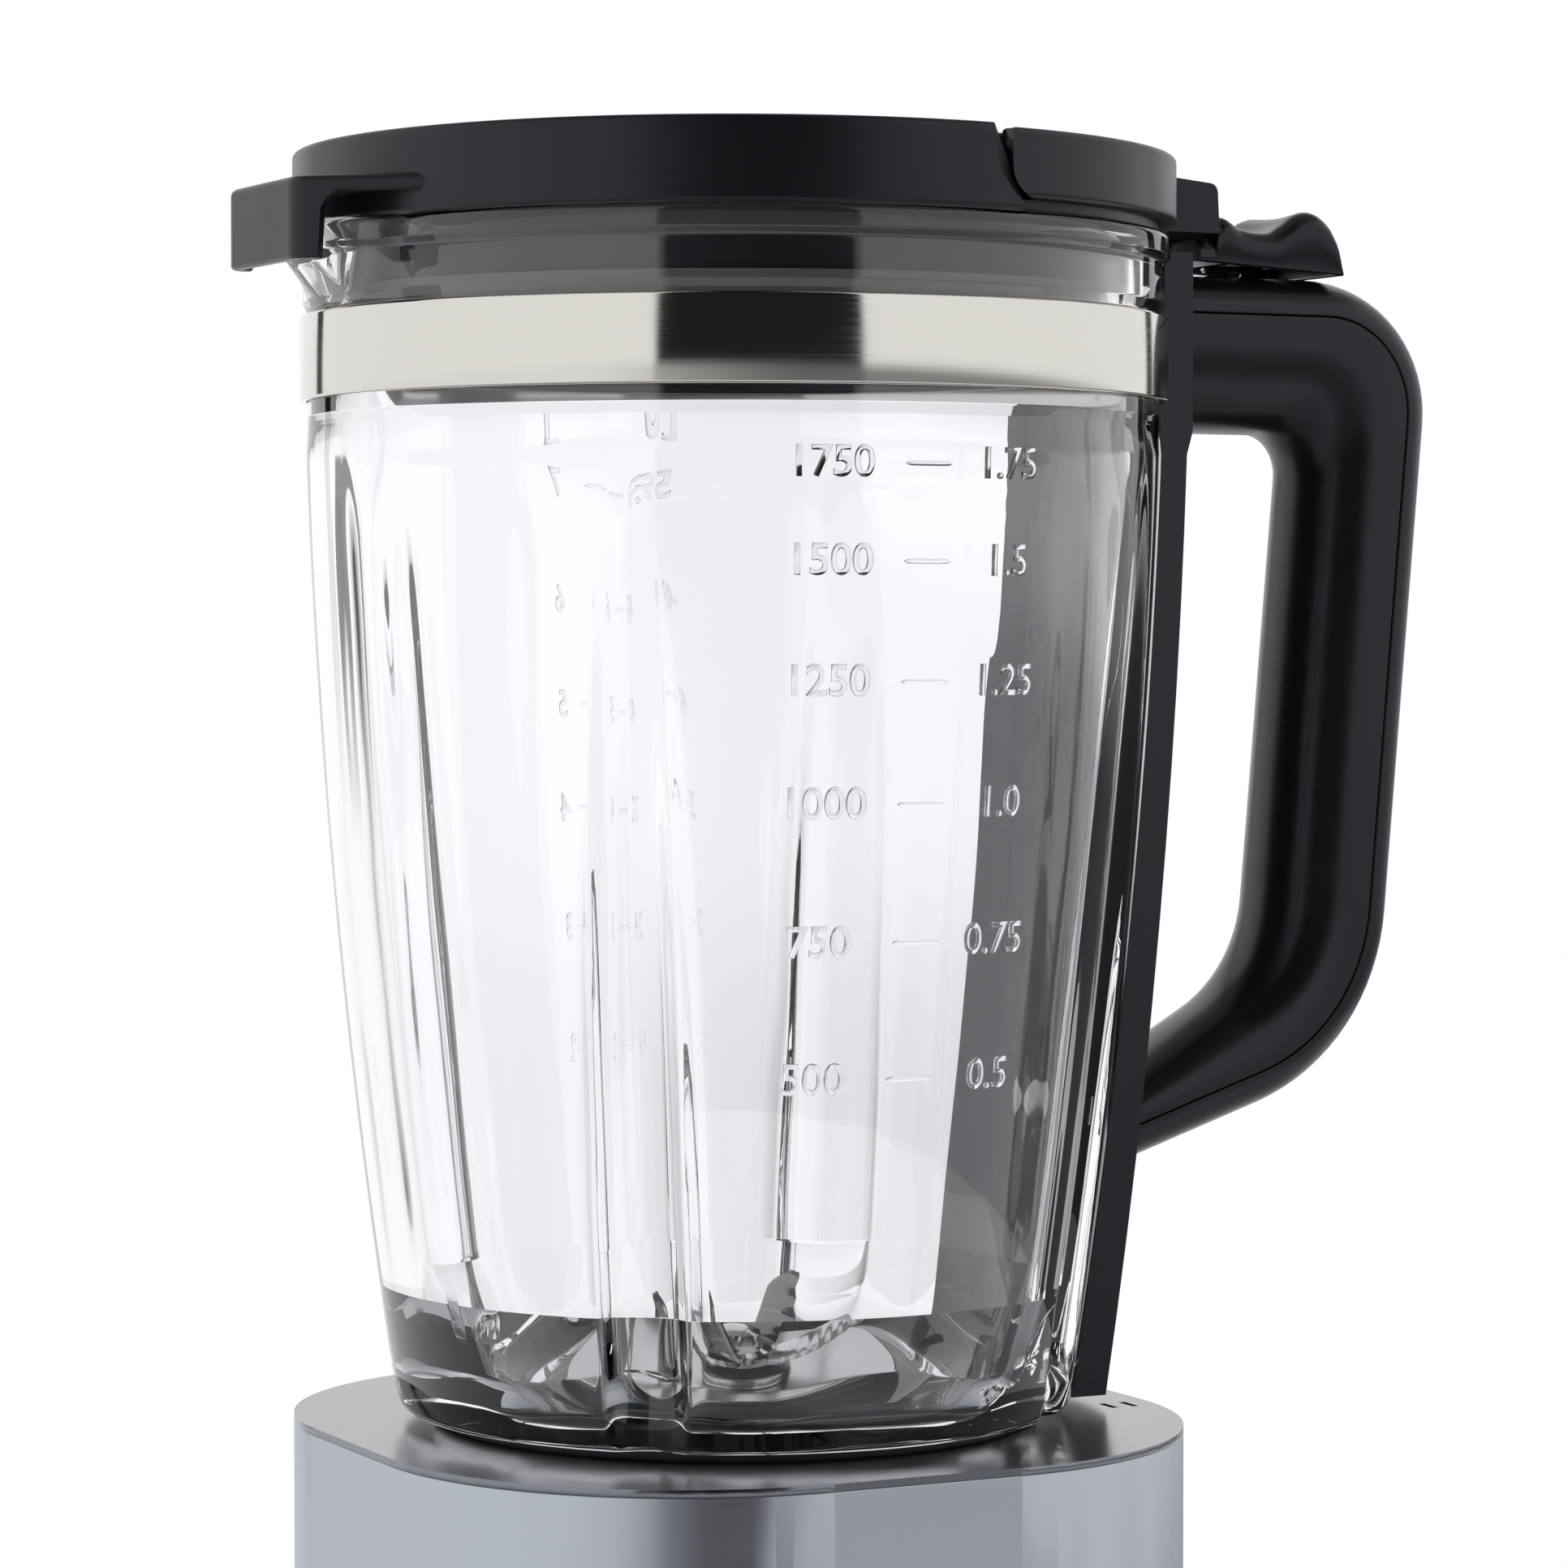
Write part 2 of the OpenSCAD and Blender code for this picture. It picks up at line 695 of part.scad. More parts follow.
module rotor_core() {
  color("gray") on_base() difference() {
    disc(rotor_r, stator_z, stator_z + core_h);
    disc(motor_shaft_r, stator_z - 1, stator_z + core_h + 1);
    for (a = [0:30:330]) rotate(a) box_xyz(rotor_r - 6, rotor_r + 1, -1, 1, stator_z - 1,
                                           stator_z + core_h + 1);
  }
}
module commutator() {
  color("peru") on_base() ring(motor_shaft_r, commutator_r, commutator_z, commutator_z + commutator_h);
}
module cooling_fan() {
  color("dimgray") on_base() difference() {
    union() {
      disc(10, fan_z, fan_z + fan_h);
      disc(fan_r, fan_z + fan_h - 2, fan_z + fan_h);
      for (a = [0:30:330]) rotate(a)
        box_xyz(9, fan_r - 0.5, -0.8, 0.8, fan_z, fan_z + fan_h - 1);
    }
    disc(motor_shaft_r, fan_z - 1, fan_z + fan_h + 1);
  }
}
module drive_coupling() {
  color("black") on_base() difference() {
    disc(coupling_r, coupling_foot, coupling_top);
    translate([0, 0, socket_floor]) cylinder(r = hex_r + free_gap, h = 20, $fn = 6);
    disc(motor_shaft_r, coupling_foot - 1, socket_floor - 1);
  }
}

// ---- Jar ----
module flute_cutter(r, z1, z2) {
  foot = jar_r(flute_foot) + flute_r - flute_depth;
  for (a = flute_angles) rotate(a) translate([foot, 0, flute_foot]) rotate([0, flute_lean, 0])
    translate([0, 0, z1 - flute_foot]) cylinder(r = r, h = (z2 - z1) / cos(flute_lean));
}
// Half of a tongue that points towards -X, narrowed by d, from its root over its waist to its lip
function tongue(root, waist, lip, d) =
  [[-root.x, root.y - d], [-waist.x, waist.y - d], [-lip.x + d, lip.y - d / 2]];
module spout_outline(d) {
  half = tongue(spout_root, spout_waist, spout_lip, d);
  polygon(concat([for (p = half) [p.x, -p.y]], reversed(half)));
}
module glass_jar() {
  steps = 14;
  flank = [for (i = [0:steps]) let (z = 6 + (shoulder_h - 6) * i / steps) [jar_r(z), z]];
  lining = [for (i = [0:steps]) let (z = floor_edge_z + 8 + (shoulder_h - floor_edge_z - 8) * i / steps)
            [jar_r(z) - glass_t, z]];
  color("lightcyan", 0.4) on_base() difference() {
    union() {
      rotate_extrude() polygon(concat(
        [[0, -spigot_d], [spigot_r, -spigot_d], [spigot_r, seat_gap], [foot_glass_r - 2, seat_gap]],
        flank,
        [[band_seat_r, shoulder_h + 3], [band_seat_r, band_z + band_h + fit_gap],
         [neck_r, band_z + band_h + fit_gap + 1.5], [neck_r, rim_h - 5], [rim_r, rim_h - 3.5],
         [rim_r, rim_h - 0.8], [rim_r - 0.8, rim_h], [0, rim_h]]));
      translate([0, 0, rim_h - spout_h]) linear_extrude(spout_h) spout_outline(0);
    }
    difference() {
      rotate_extrude() polygon(concat(
        [[0, floor_z], [flange_r + 4, floor_z], [flange_r + 10, floor_z + 4],
         [jar_r(floor_edge_z) - glass_t - 5, floor_edge_z - 3]],
        lining,
        [[neck_in_r, neck_z], [neck_in_r, rim_h + 1], [0, rim_h + 1]]));
      flute_cutter(flute_r + rib_wall, 0, flute_top + 20);
    }
    flute_cutter(flute_r, flute_foot, flute_top + 12);
    disc(jar_hole_r, -spigot_d - 1, floor_z + 1);
    translate([0, 0, rim_h - channel_d]) linear_extrude(channel_d + 1) spout_outline(spout_wall);
  }
}
module neck_band() {
  color("silver") on_base() ring(band_r - band_t, band_r, band_z, band_z + band_h);
}
module floor_gasket() {
  color("gray") on_base() ring(jar_hole_r, flange_r - 1, floor_z, floor_z + gasket_t);
}
module bearing_housing() {
  color("silver") on_base() difference() {
    union() {
      disc(barrel_r, barrel_foot, floor_z + gasket_t + eps);
      disc(flange_r, floor_z + gasket_t, floor_z + gasket_t + flange_t);
      disc(bush_r + 3, floor_z + gasket_t, boss_top);
    }
    disc(bush_r, barrel_foot - 1, boss_top + 1);
  }
}
module shaft_bushes() {
  color("goldenrod") on_base() for (z = [barrel_foot, boss_top - 2 - bush_h])
    ring(shaft_r + run_fit, bush_r, z, z + bush_h);
}
module shaft_seal() {
  color("black") on_base() ring(shaft_r + run_fit, bush_r, boss_top - 2, boss_top);
}
module clamp_washer() {
  color("gray") on_base() ring(jar_hole_r, nut_r - 1, -spigot_d - washer_t, -spigot_d);
}
module clamp_nut() {
  z = -spigot_d - washer_t - nut_t;
  color("dimgray") on_base() difference() {
    ring(barrel_r, nut_r, z, z + nut_t);
    for (a = [0:45:315]) rotate(a) box_xyz(nut_r - 4, nut_r + 1, -3, 3, z - 1, z + nut_t + 1);
  }
}

// ---- Handle ----
// Line along the jar's flank and band, d outside the glass, up to the height top
function flank_line(d, top) = let (steps = 12) concat(
  [for (i = [0:steps]) let (z = seat_gap + (shoulder_h - seat_gap) * i / steps) [jar_r(z) + d, z]],
  [[band_r + d, shoulder_h + 4], [band_r + d, top]]);
function reversed(list) = [for (i = [len(list) - 1:-1:0]) list[i]];
// The space between two such lines, turned about the jar's axis
module spine_body(inner, outer) {
  rotate_extrude() polygon(concat(flank_line(inner, spine_top), reversed(flank_line(outer, spine_top))));
}
module spine_slot(z) {
  x = jar_r(z) + spine_gap;
  translate([x + 0.6, 0, z]) rotate([0, flute_lean - 2, 0])
    box_xyz(-3, 1.6, -1.2, 1.2, -8, 8);
}
module handle_spine() {
  color("dimgray") on_base() difference() {
    intersection() {
      spine_body(spine_gap, spine_t + spine_gap);
      box_xyz(20, 120, -spine_half, spine_half, 0, spine_top + 1);
    }
    liner_body(eps, 0);
    for (z = slot_levels) spine_slot(z);
    for (z = screw_levels) handle_screw(z, 0.1);
    translate([magnet_x, 0, 0]) disc(magnet_r, 0, seat_gap + magnet_h);
  }
}
// The liner, moved inwards by sink, smaller by trim on its other sides
module liner_body(sink, trim) {
  intersection() {
    spine_body(spine_gap - sink, spine_gap + liner_t - trim / 2);
    box_xyz(20, 120, -liner_half + trim, liner_half - trim, liner_low + trim, liner_high - trim);
  }
}
module spine_liner() {
  color("gray") on_base() difference() {
    liner_body(0, 0.1);
    for (z = slot_levels) spine_slot(z);
    for (z = screw_levels) handle_screw(z, 0.1);
  }
}
module handle_screw(z, gap) {
  x = (z > shoulder_h ? band_r : jar_r(z)) + spine_gap;
  translate([x + 1.2 - (gap > 0 ? 3 : 0), 0, z]) rotate([0, 90, 0])
    cylinder(r = handle_head_r + gap, h = 2.4 + (gap > 0 ? 3 : 0));
  translate([x + 1.3, 0, z]) rotate([0, 90, 0]) cylinder(r = handle_thread_r + gap, h = 18 + gap);
}
module handle_screws() {
  color("silver") on_base() for (z = screw_levels) handle_screw(z, 0);
}
module interlock_magnet() {
  color("silver") on_base() translate([magnet_x, 0, 0]) disc(magnet_r, seat_gap, seat_gap + magnet_h);
}
module behind_spine() {
  difference() {
    children();
    rotate_extrude() polygon(concat([[0, seat_gap]], flank_line(spine_t + spine_gap, spine_top + 5),
                                    [[0, spine_top + 5]]));
  }
}
module seam_outline() { polygon(rounded(contour(cover_t, seam_r))); }
module handle_grip() {
  inner_x = grip_x(arm_foot_z, grip_w);
  foot_x = grip_x(crook_z, grip_w);
  color("dimgray") on_base() difference() {
    behind_spine() side_plate(handle_half) difference() {
      seam_outline();
      polygon(rounded([[inside_x, arm_foot_z, 0], [inner_x, arm_foot_z, crook_r.x],
        [foot_x, crook_z, crook_r.y], [inside_x, crook_z - (foot_x - inside_x) * crook_slope, 0]]));
    }
    for (z = screw_levels) handle_screw(z, 0.1);
  }
}
module pin_hole(r, half) { translate([pin_x, half, pin_z]) rotate([90, 0, 0]) cylinder(r = r, h = 2 * half); }
module handle_cover() {
  color("dimgray") on_base() difference() {
    union() {
      behind_spine() side_plate(handle_half) difference() {
        polygon(rounded(contour(0, cover_r)));
        seam_outline();
      }
      for (y = [-ear_y - ear_t, ear_y])
        box_xyz(pin_x - 2.5, pin_x + 2.5, y, y + ear_t, handle_top - 2, pin_z + 2.4);
    }
    pin_hole(pin_r, 20);
    translate([spring_x, 0, 0]) disc(pocket_r, pocket_z, handle_top + 1);
    for (z = screw_levels) handle_screw(z, 0.1);
  }
}
module lever_pin() { color("silver") on_base() pin_hole(pin_r, ear_y + ear_t); }

// ---- Thumb lever ----
module lever_outline() {
  polygon(rounded([
    [nose_x, lever_z, 0], [lever_back, lever_z - 1.6, 0], [lever_back, lever_top, 7],
    [hump_x, lever_top, 5], [saddle_x[1], saddle_z, 5], [saddle_x[0], saddle_z, 7],
    [lever_front, lever_top - 2.4, 0], [lever_front, nose_top, 0], [nose_x, nose_top, 0]]));
}
module lever_hollow() {
  x1 = lever_front + 2.5;
  x2 = lever_back - 1.2;
  polygon([[x1, handle_top - 2], [x2, handle_top - 2], [x2, pin_z + 3.6], [hump_x - 0.5, pin_z + 3.6],
           [saddle_x[1] - 0.5, saddle_z - roof], [x1, saddle_z - roof]]);
}
module thumb_lever() {
  color("dimgray") on_base() difference() {
    union() {
      difference() {
        side_plate(lever_half) lever_outline();
        side_plate(lever_half - 2.2) lever_hollow();
      }
      side_plate(4.5) {
        translate([pin_x, pin_z]) circle(3);
        translate([pin_x - 2.4, pin_z]) square([4.8, lever_top - pin_z - 2]);
      }
    }
    pin_hole(pin_r + run_fit, 20);
  }
}
// Compression spring under the lever: a round wire swept round a helix
function helix(t) = [spring_x + spring_r * cos(360 * spring_turns * t),
  spring_r * sin(360 * spring_turns * t), spring_z1 + (spring_z2 - spring_z1) * t];
module lever_spring() {
  rings = 70;
  sides = 8;
  points = [for (i = [0:rings], k = [0:sides - 1]) let (
      a = 360 * spring_turns * i / rings, b = 360 * k / sides)
    helix(i / rings) + wire_r * [cos(b) * cos(a), cos(b) * sin(a), sin(b)]];
  skin = [for (i = [0:rings - 1], k = [0:sides - 1]) let (n = (k + 1) % sides)
    [i * sides + k, (i + 1) * sides + k, (i + 1) * sides + n, i * sides + n]];
  ends = [[for (k = [0:sides - 1]) k], [for (k = [sides - 1:-1:0]) rings * sides + k]];
  color("silver") on_base() polyhedron(points, concat(skin, ends));
}

// ---- Lid ----
module hood_outline(d) {
  half = tongue(hood_root, hood_waist, hood_lip, d);
  r = [0, 4, 5];
  polygon(rounded(concat([for (i = [0:2]) [half[i].x, -half[i].y, r[i]]],
                         [for (i = [2:-1:0]) [half[i].x, half[i].y, r[i]]])));
}
module sector(angle, r1, r2, z1, z2) {
  rotate(180 - angle) rotate_extrude(angle = 2 * angle) translate([r1, z1]) square([r2 - r1, z2 - z1]);
}
module lid_body() {
  front = 180 - rear_angle - 1.5;
  color("dimgray") on_base() difference() {
    union() {
      sector(front, lid_r - skirt_step - eps, lid_r, lid_z, lid_top);
      disc(lid_r - skirt_step, disc_z, disc_z + disc_t);
      ring(lid_r - skirt_step - lid_t, lid_r - skirt_step, lid_z, disc_z + eps);
      ring(plug_r - lid_t, plug_r, lid_z - plug_d, disc_z + eps);
      ring(filler_r, filler_r + lid_t, disc_z - 14, disc_z + disc_t);
      translate([0, 0, hood_z]) linear_extrude(hood_h) difference() {
        hood_outline(0);
        circle(lid_r - skirt_step - 0.5);
      }
    }
    disc(filler_r, disc_z - 20, lid_top + 1);
    translate([0, 0, disc_z + disc_t - 1.5]) cylinder(r = filler_r + 4.3, h = 5);
    translate([0, 0, hood_z - 1]) linear_extrude(hood_h - 1.5) difference() {
      hood_outline(hood_wall);
      circle(lid_r - skirt_step - 0.5);
    }
    box_xyz(-hood_reach + 5, -60, -40, 40, hood_z - 1, lid_z);
  }
}
module lid_catch() {
  color("dimgray") on_base() {
    rotate(-rear_angle) rotate_extrude(angle = 2 * rear_angle)
      translate([lid_r - skirt_step, lid_z]) square([skirt_step, skirt_h - 0.5]);
    intersection() {
      side_plate(tab_half) polygon([[lid_r - 1.5, tab_z], [tab_reach, tab_z],
        [tab_reach - 0.4, tab_z + tab_h - 2.4], [lid_r - 1.5, tab_z + tab_h]]);
      difference() {
        disc(tab_reach + 20, tab_z - 1, tab_z + tab_h + 1);
        disc(lid_r - 0.5, tab_z - 2, tab_z + tab_h + 2);
      }
    }
  }
}
module lid_seal() {
  z = lid_z - 14;
  color("gray") on_base() ring(plug_r, neck_in_r - free_gap, z, z + 4);
}
module filler_cap() {
  top = disc_z + disc_t + 1;
  color("dimgray") on_base() difference() {
    union() {
      disc(filler_r + 4, disc_z + disc_t - 1.5, top);
      disc(filler_r - free_gap, disc_z + disc_t - cup_d, top - eps);
    }
    disc(filler_r - free_gap - 2.2, disc_z + disc_t - cup_d - 1, disc_z + disc_t - 2.5);
    for (y = [-1, 1]) translate([0, y * (filler_r + 9), 0]) disc(12, disc_z + disc_t - 0.4, top + 1);
  }
}

// ---- Blade unit that turns ----
module blade_shaft() {
  color("silver") on_base() {
    disc(shaft_r, coupling_tail + 2, hub_z);
    disc(shaft_r - 1, hub_z - eps, nut_z + nut_h - 1);
  }
}
// One blade of two opposite arms that rise from a flat hub
module blade(z, reach, rise, width, turn, hub, root) {
  run = reach - root - 0.8;
  slope = atan2(rise, run);
  length = run / cos(slope);
  rotate(turn) difference() {
    union() {
      disc(hub, z, z + blade_t);
      for (side = [0, 180]) rotate(side) translate([root, 0, z]) rotate([0, -slope, 0])
        linear_extrude(blade_t) polygon(rounded([[0, -width / 2, 0], [length * 0.6, -width / 2, 6],
          [length, -1.2, 1], [length, 2.4, 1.5], [length * 0.9, width / 2, 2], [0, width / 2, 0]]));
    }
    disc(shaft_r - 1, z - 3, z + 8);
  }
}
module lower_blade() {
  color("silver") on_base()
    blade(hub_z, lower_reach, lower_rise, lower_width, lower_turn, lower_hub, lower_root);
}
module upper_blade() {
  color("silver") on_base() difference() {
    blade(hub_z + blade_t, upper_reach, upper_rise, upper_width, upper_turn, upper_hub, upper_root);
    disc(40, hub_z - 5, hub_z + blade_t);
  }
}
module blade_nut() {
  color("silver") on_base() difference() {
    disc(blade_nut_r, nut_z, nut_z + nut_h);
    disc(shaft_r - 1, nut_z - 1, nut_z + nut_h - 1);
  }
}
module driven_coupling() {
  color("black") on_base() difference() {
    translate([0, 0, coupling_tail]) cylinder(r = hex_r, h = barrel_foot - 1 - coupling_tail, $fn = 6);
    disc(shaft_r, coupling_tail + 2, barrel_foot);
  }
}

base_housing();
base_top();
base_plate();
foot_ring();
base_screws();
seat_pad();
control_panel();
dial_ring();
control_dial();
button_left();
button_middle();
button_right();
control_board();
speed_switch();
jar_sensor();
terminal_block();
cord_inlet();
stator_core();
field_coils();
upper_bracket();
lower_bracket();
motor_bearings();
motor_bolts();
motor_mounts();
mount_screws();
brush_holders();
carbon_brushes();
fan_shroud();
well_seal();
motor_shaft();
rotor_core();
commutator();
cooling_fan();
drive_coupling();
glass_jar();
neck_band();
floor_gasket();
bearing_housing();
shaft_bushes();
shaft_seal();
clamp_washer();
clamp_nut();
handle_spine();
spine_liner();
handle_grip();
handle_cover();
handle_screws();
interlock_magnet();
lever_pin();
lever_spring();
thumb_lever();
lid_body();
lid_catch();
lid_seal();
filler_cap();
blade_shaft();
lower_blade();
upper_blade();
blade_nut();
driven_coupling();
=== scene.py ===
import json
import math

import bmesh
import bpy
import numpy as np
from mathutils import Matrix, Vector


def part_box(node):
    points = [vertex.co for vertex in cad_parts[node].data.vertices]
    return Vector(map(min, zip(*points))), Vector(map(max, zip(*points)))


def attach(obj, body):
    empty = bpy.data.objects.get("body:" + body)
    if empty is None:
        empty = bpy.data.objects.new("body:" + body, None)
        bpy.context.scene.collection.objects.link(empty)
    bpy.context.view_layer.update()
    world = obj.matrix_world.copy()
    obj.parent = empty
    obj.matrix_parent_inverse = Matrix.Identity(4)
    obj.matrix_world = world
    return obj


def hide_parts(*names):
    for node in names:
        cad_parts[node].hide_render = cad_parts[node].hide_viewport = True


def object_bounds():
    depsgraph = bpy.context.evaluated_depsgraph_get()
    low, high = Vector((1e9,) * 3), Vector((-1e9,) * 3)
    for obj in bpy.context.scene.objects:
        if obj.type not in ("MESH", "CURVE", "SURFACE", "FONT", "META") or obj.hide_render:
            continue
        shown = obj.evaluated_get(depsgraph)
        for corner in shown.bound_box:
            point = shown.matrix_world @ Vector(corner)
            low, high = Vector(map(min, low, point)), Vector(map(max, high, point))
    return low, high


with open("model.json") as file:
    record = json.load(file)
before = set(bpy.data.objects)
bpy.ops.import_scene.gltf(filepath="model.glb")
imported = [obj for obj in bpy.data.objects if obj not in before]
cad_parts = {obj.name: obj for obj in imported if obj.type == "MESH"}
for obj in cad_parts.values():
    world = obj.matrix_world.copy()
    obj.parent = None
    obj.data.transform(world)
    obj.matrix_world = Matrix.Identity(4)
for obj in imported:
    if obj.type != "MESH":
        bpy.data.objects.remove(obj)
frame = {"nodes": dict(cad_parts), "record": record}

# %% [markdown]
# # A countertop blender
# A fluted glass jar with a lid, a handle and a turning blade unit stands on a metal-clad
# motor base. The engineering model already holds every piece at its true size and place,
# so this lesson only has to make those pieces look like glass, steel and moulded plastic.
# Simple turned or folded parts keep their engineering shape and get a better finish.
# Parts whose shape carries the look, such as the pressed glass, the handle and the lid,
# are drawn again here as smooth surfaces. Each surface is worked out with numpy.

cad_low, cad_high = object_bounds()
MM = 0.001
BASE_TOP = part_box("base_top")[1].z / MM
JAR_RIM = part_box("glass_jar")[1].z / MM - BASE_TOP
print("model box in mm:", [round(v / MM, 1) for v in (*cad_low, *cad_high)])
print("base top at", round(BASE_TOP, 2), "mm, glass rim", round(JAR_RIM, 2), "mm above it")

# %% [markdown]
# ## Camera
# The camera stands in front, turned 26 degrees to the user's left, almost level with the
# middle of the jar, and far enough away that the object shows little perspective. A long
# lens does the same in a photo studio. The jar's axis falls a little left of the middle of
# the picture, so the camera is turned by half a degree instead of being shifted.

# %% The camera
VIEW_AZIMUTH = math.radians(-26.0)
VIEW_DISTANCE = 843.0
VIEW_HEIGHT = BASE_TOP + 133.9
VIEW_PITCH = math.radians(-1.749)
VIEW_YAW = math.radians(-0.571)
LENS_MM = 113.14
lens = bpy.data.cameras.new("studio_camera")
lens.lens = LENS_MM
lens.sensor_width = 36.0
camera = bpy.data.objects.new("studio_camera", lens)
bpy.context.scene.collection.objects.link(camera)
camera.location = (math.sin(VIEW_AZIMUTH) * VIEW_DISTANCE * MM,
                   -math.cos(VIEW_AZIMUTH) * VIEW_DISTANCE * MM, VIEW_HEIGHT * MM)
camera.rotation_euler = (math.radians(90) + VIEW_PITCH, 0, VIEW_AZIMUTH + VIEW_YAW)
bpy.context.scene.camera = camera
print("camera at", [round(v, 3) for v in camera.location])

# %% [markdown]
# ## Helpers for colours and materials
# Artists pick colours as sRGB hex codes, but a renderer adds light up in linear numbers,
# so one function turns the first into the second. A second function adds a shader node,
# sets its properties and sockets, and links any socket that is handed to it. Every
# material in this lesson is built from those two.

# %% Colour and node helpers
def linear(code):
    """Linear RGBA of an sRGB hex colour: ((c + 0.055) / 1.055) ** 2.4 above the toe, c / 12.92 in it."""
    parts = [int(code[i:i + 2], 16) / 255 for i in (1, 3, 5)]
    return [c / 12.92 if c <= 0.04045 else ((c + 0.055) / 1.055) ** 2.4 for c in parts] + [1.0]


def add(tree, kind, inputs=None, **settings):
    """Adds one node. A socket handed in as a value is linked, and anything else is set on the socket."""
    made = tree.nodes.new(kind)
    for name, value in settings.items():
        setattr(made, name, value)
    for name, value in (inputs or {}).items():
        if isinstance(value, bpy.types.NodeSocket):
            tree.links.new(value, made.inputs[name])
        else:
            made.inputs[name].default_value = value
    return made


def start_material(name, colour, **sockets):
    """Starts a material: one Principled shader with its own colour and socket values.
    Returns the material, its node tree and the shader."""
    made = bpy.data.materials.new(name)
    made.use_nodes = True
    tree = made.node_tree
    tree.nodes.clear()
    shader = add(tree, "ShaderNodeBsdfPrincipled", {"Base Color": linear(colour)})
    for socket, value in sockets.items():
        shader.inputs[socket.replace("_", " ")].default_value = value
    add(tree, "ShaderNodeOutputMaterial", {"Surface": shader.outputs[0]})
    return made, tree, shader


def per_mm(size):
    """A noise texture's scale, in Object coordinates, that gives features of this many mm."""
    return 1.0 / (size * MM)


# %% [markdown]
# ## Light
# Clear glass and steel show nothing but what stands round them, so the room is the light.
# A white backdrop stands behind the object and a large softbox on each side of it. The
# photographer's side, between the softboxes, stays dark, and so do two narrow black flags
# at the backdrop's ends. The gap draws the black panel in the steel band, and the flags
# draw fine dark lines along the edges of the glass. Low down in front the room is grey,
# darker on the right, which shades the metal base. All this is one world shader that reads
# the direction a ray leaves in. Rays that come straight from the camera see plain white,
# so the background stays even from every side.

# %% The studio
GAP_CENTRE = math.radians(-19.5)
GAP_HALF = math.radians(26.5)
GAP_BLUR = 0.02
FLAG_ANGLE = math.radians(140)
GREY_SIDE = math.radians(50)
BOUNCE = 1.05
world = bpy.data.worlds.new("studio")
bpy.context.scene.world = world
world.use_nodes = True
sky = world.node_tree
sky.nodes.clear()
toward = add(sky, "ShaderNodeTexCoord").outputs["Generated"]
axis = add(sky, "ShaderNodeSeparateXYZ", {"Vector": toward})
# How far the level ray leans to the gap's middle, to the camera and to the grey side:
# 1 straight towards it, -1 straight away
turned = add(sky, "ShaderNodeCombineXYZ", {"X": axis.outputs["X"], "Y": axis.outputs["Y"]})
level = add(sky, "ShaderNodeVectorMath", {0: turned.outputs[0]}, operation="NORMALIZE")
to_gap, to_camera, to_grey = (
    add(sky, "ShaderNodeVectorMath", {0: level.outputs[0], 1: (math.sin(heading), -math.cos(heading), 0)},
        operation="DOT_PRODUCT").outputs["Value"] for heading in (GAP_CENTRE, VIEW_AZIMUTH, GREY_SIDE))
side = add(sky, "ShaderNodeMapRange", {
    "Value": to_gap, "From Min": math.cos(GAP_HALF + GAP_BLUR), "From Max": math.cos(GAP_HALF - GAP_BLUR),
    "To Min": 1.0, "To Max": 0.015}, interpolation_type="SMOOTHSTEP")
# The flags stand 140 degrees away from the camera's direction, on both sides
off = add(sky, "ShaderNodeMath", {0: to_camera, 1: -math.cos(FLAG_ANGLE)}, operation="ADD")
near = add(sky, "ShaderNodeMath", {0: off.outputs[0]}, operation="ABSOLUTE")
flag = add(sky, "ShaderNodeMapRange", {
    "Value": near.outputs[0], "From Min": 0.022, "From Max": 0.032, "To Min": 0.04, "To Max": 1.0},
    interpolation_type="SMOOTHSTEP")
# Below the horizon the room goes from light on the left to grey on the right
ground = add(sky, "ShaderNodeMapRange", {
    "Value": to_grey, "From Min": -0.5, "From Max": 0.6, "To Min": 0.95, "To Max": 0.28},
    interpolation_type="SMOOTHSTEP")
front = add(sky, "ShaderNodeMath", {0: side.outputs[0], 1: 0.62}, operation="MAXIMUM")
low_light = add(sky, "ShaderNodeMath", {0: ground.outputs[0], 1: front.outputs[0]}, operation="MULTIPLY")
high_light = add(sky, "ShaderNodeMath", {0: side.outputs[0], 1: flag.outputs[0]}, operation="MULTIPLY")
above = add(sky, "ShaderNodeMapRange", {
    "Value": axis.outputs["Z"], "From Min": -0.1, "From Max": -0.03}, interpolation_type="SMOOTHSTEP")
around_it = add(sky, "ShaderNodeMix", {
    "Factor": above.outputs[0], 2: low_light.outputs[0], 3: high_light.outputs[0]}, data_type="FLOAT")
# The softboxes reach half-way up; above them the ceiling is dimmer
ceiling = add(sky, "ShaderNodeMapRange", {
    "Value": axis.outputs["Z"], "From Min": 0.62, "From Max": 0.72, "To Min": 1.0, "To Max": 0.35},
    interpolation_type="SMOOTHSTEP")
room = add(sky, "ShaderNodeMath", {0: around_it.outputs[0], 1: ceiling.outputs[0]}, operation="MULTIPLY")
bounce = add(sky, "ShaderNodeMath", {0: room.outputs[0], 1: BOUNCE}, operation="MULTIPLY")
seen = add(sky, "ShaderNodeLightPath")
strength = add(sky, "ShaderNodeMix", {
    "Factor": seen.outputs["Is Camera Ray"], 2: bounce.outputs[0], 3: 1.0}, data_type="FLOAT")
glow = add(sky, "ShaderNodeBackground", {
    "Color": linear("#ffffff"), "Strength": strength.outputs[0]})
add(sky, "ShaderNodeOutputWorld", {"Surface": glow.outputs[0]})
bpy.context.scene.view_settings.view_transform = "Standard"

# %% [markdown]
# ## Floor
# The floor is a pale round sheet in the plane of the rubber foot ring. Its paint is matt
# and almost white, and towards its rim it glows as softly as the backdrop, so that floor
# and background run into each other without a horizon, as on a studio's curved paper.

# %% The floor
FLOOR_R = 0.8
FLOOR_SIDES = 96


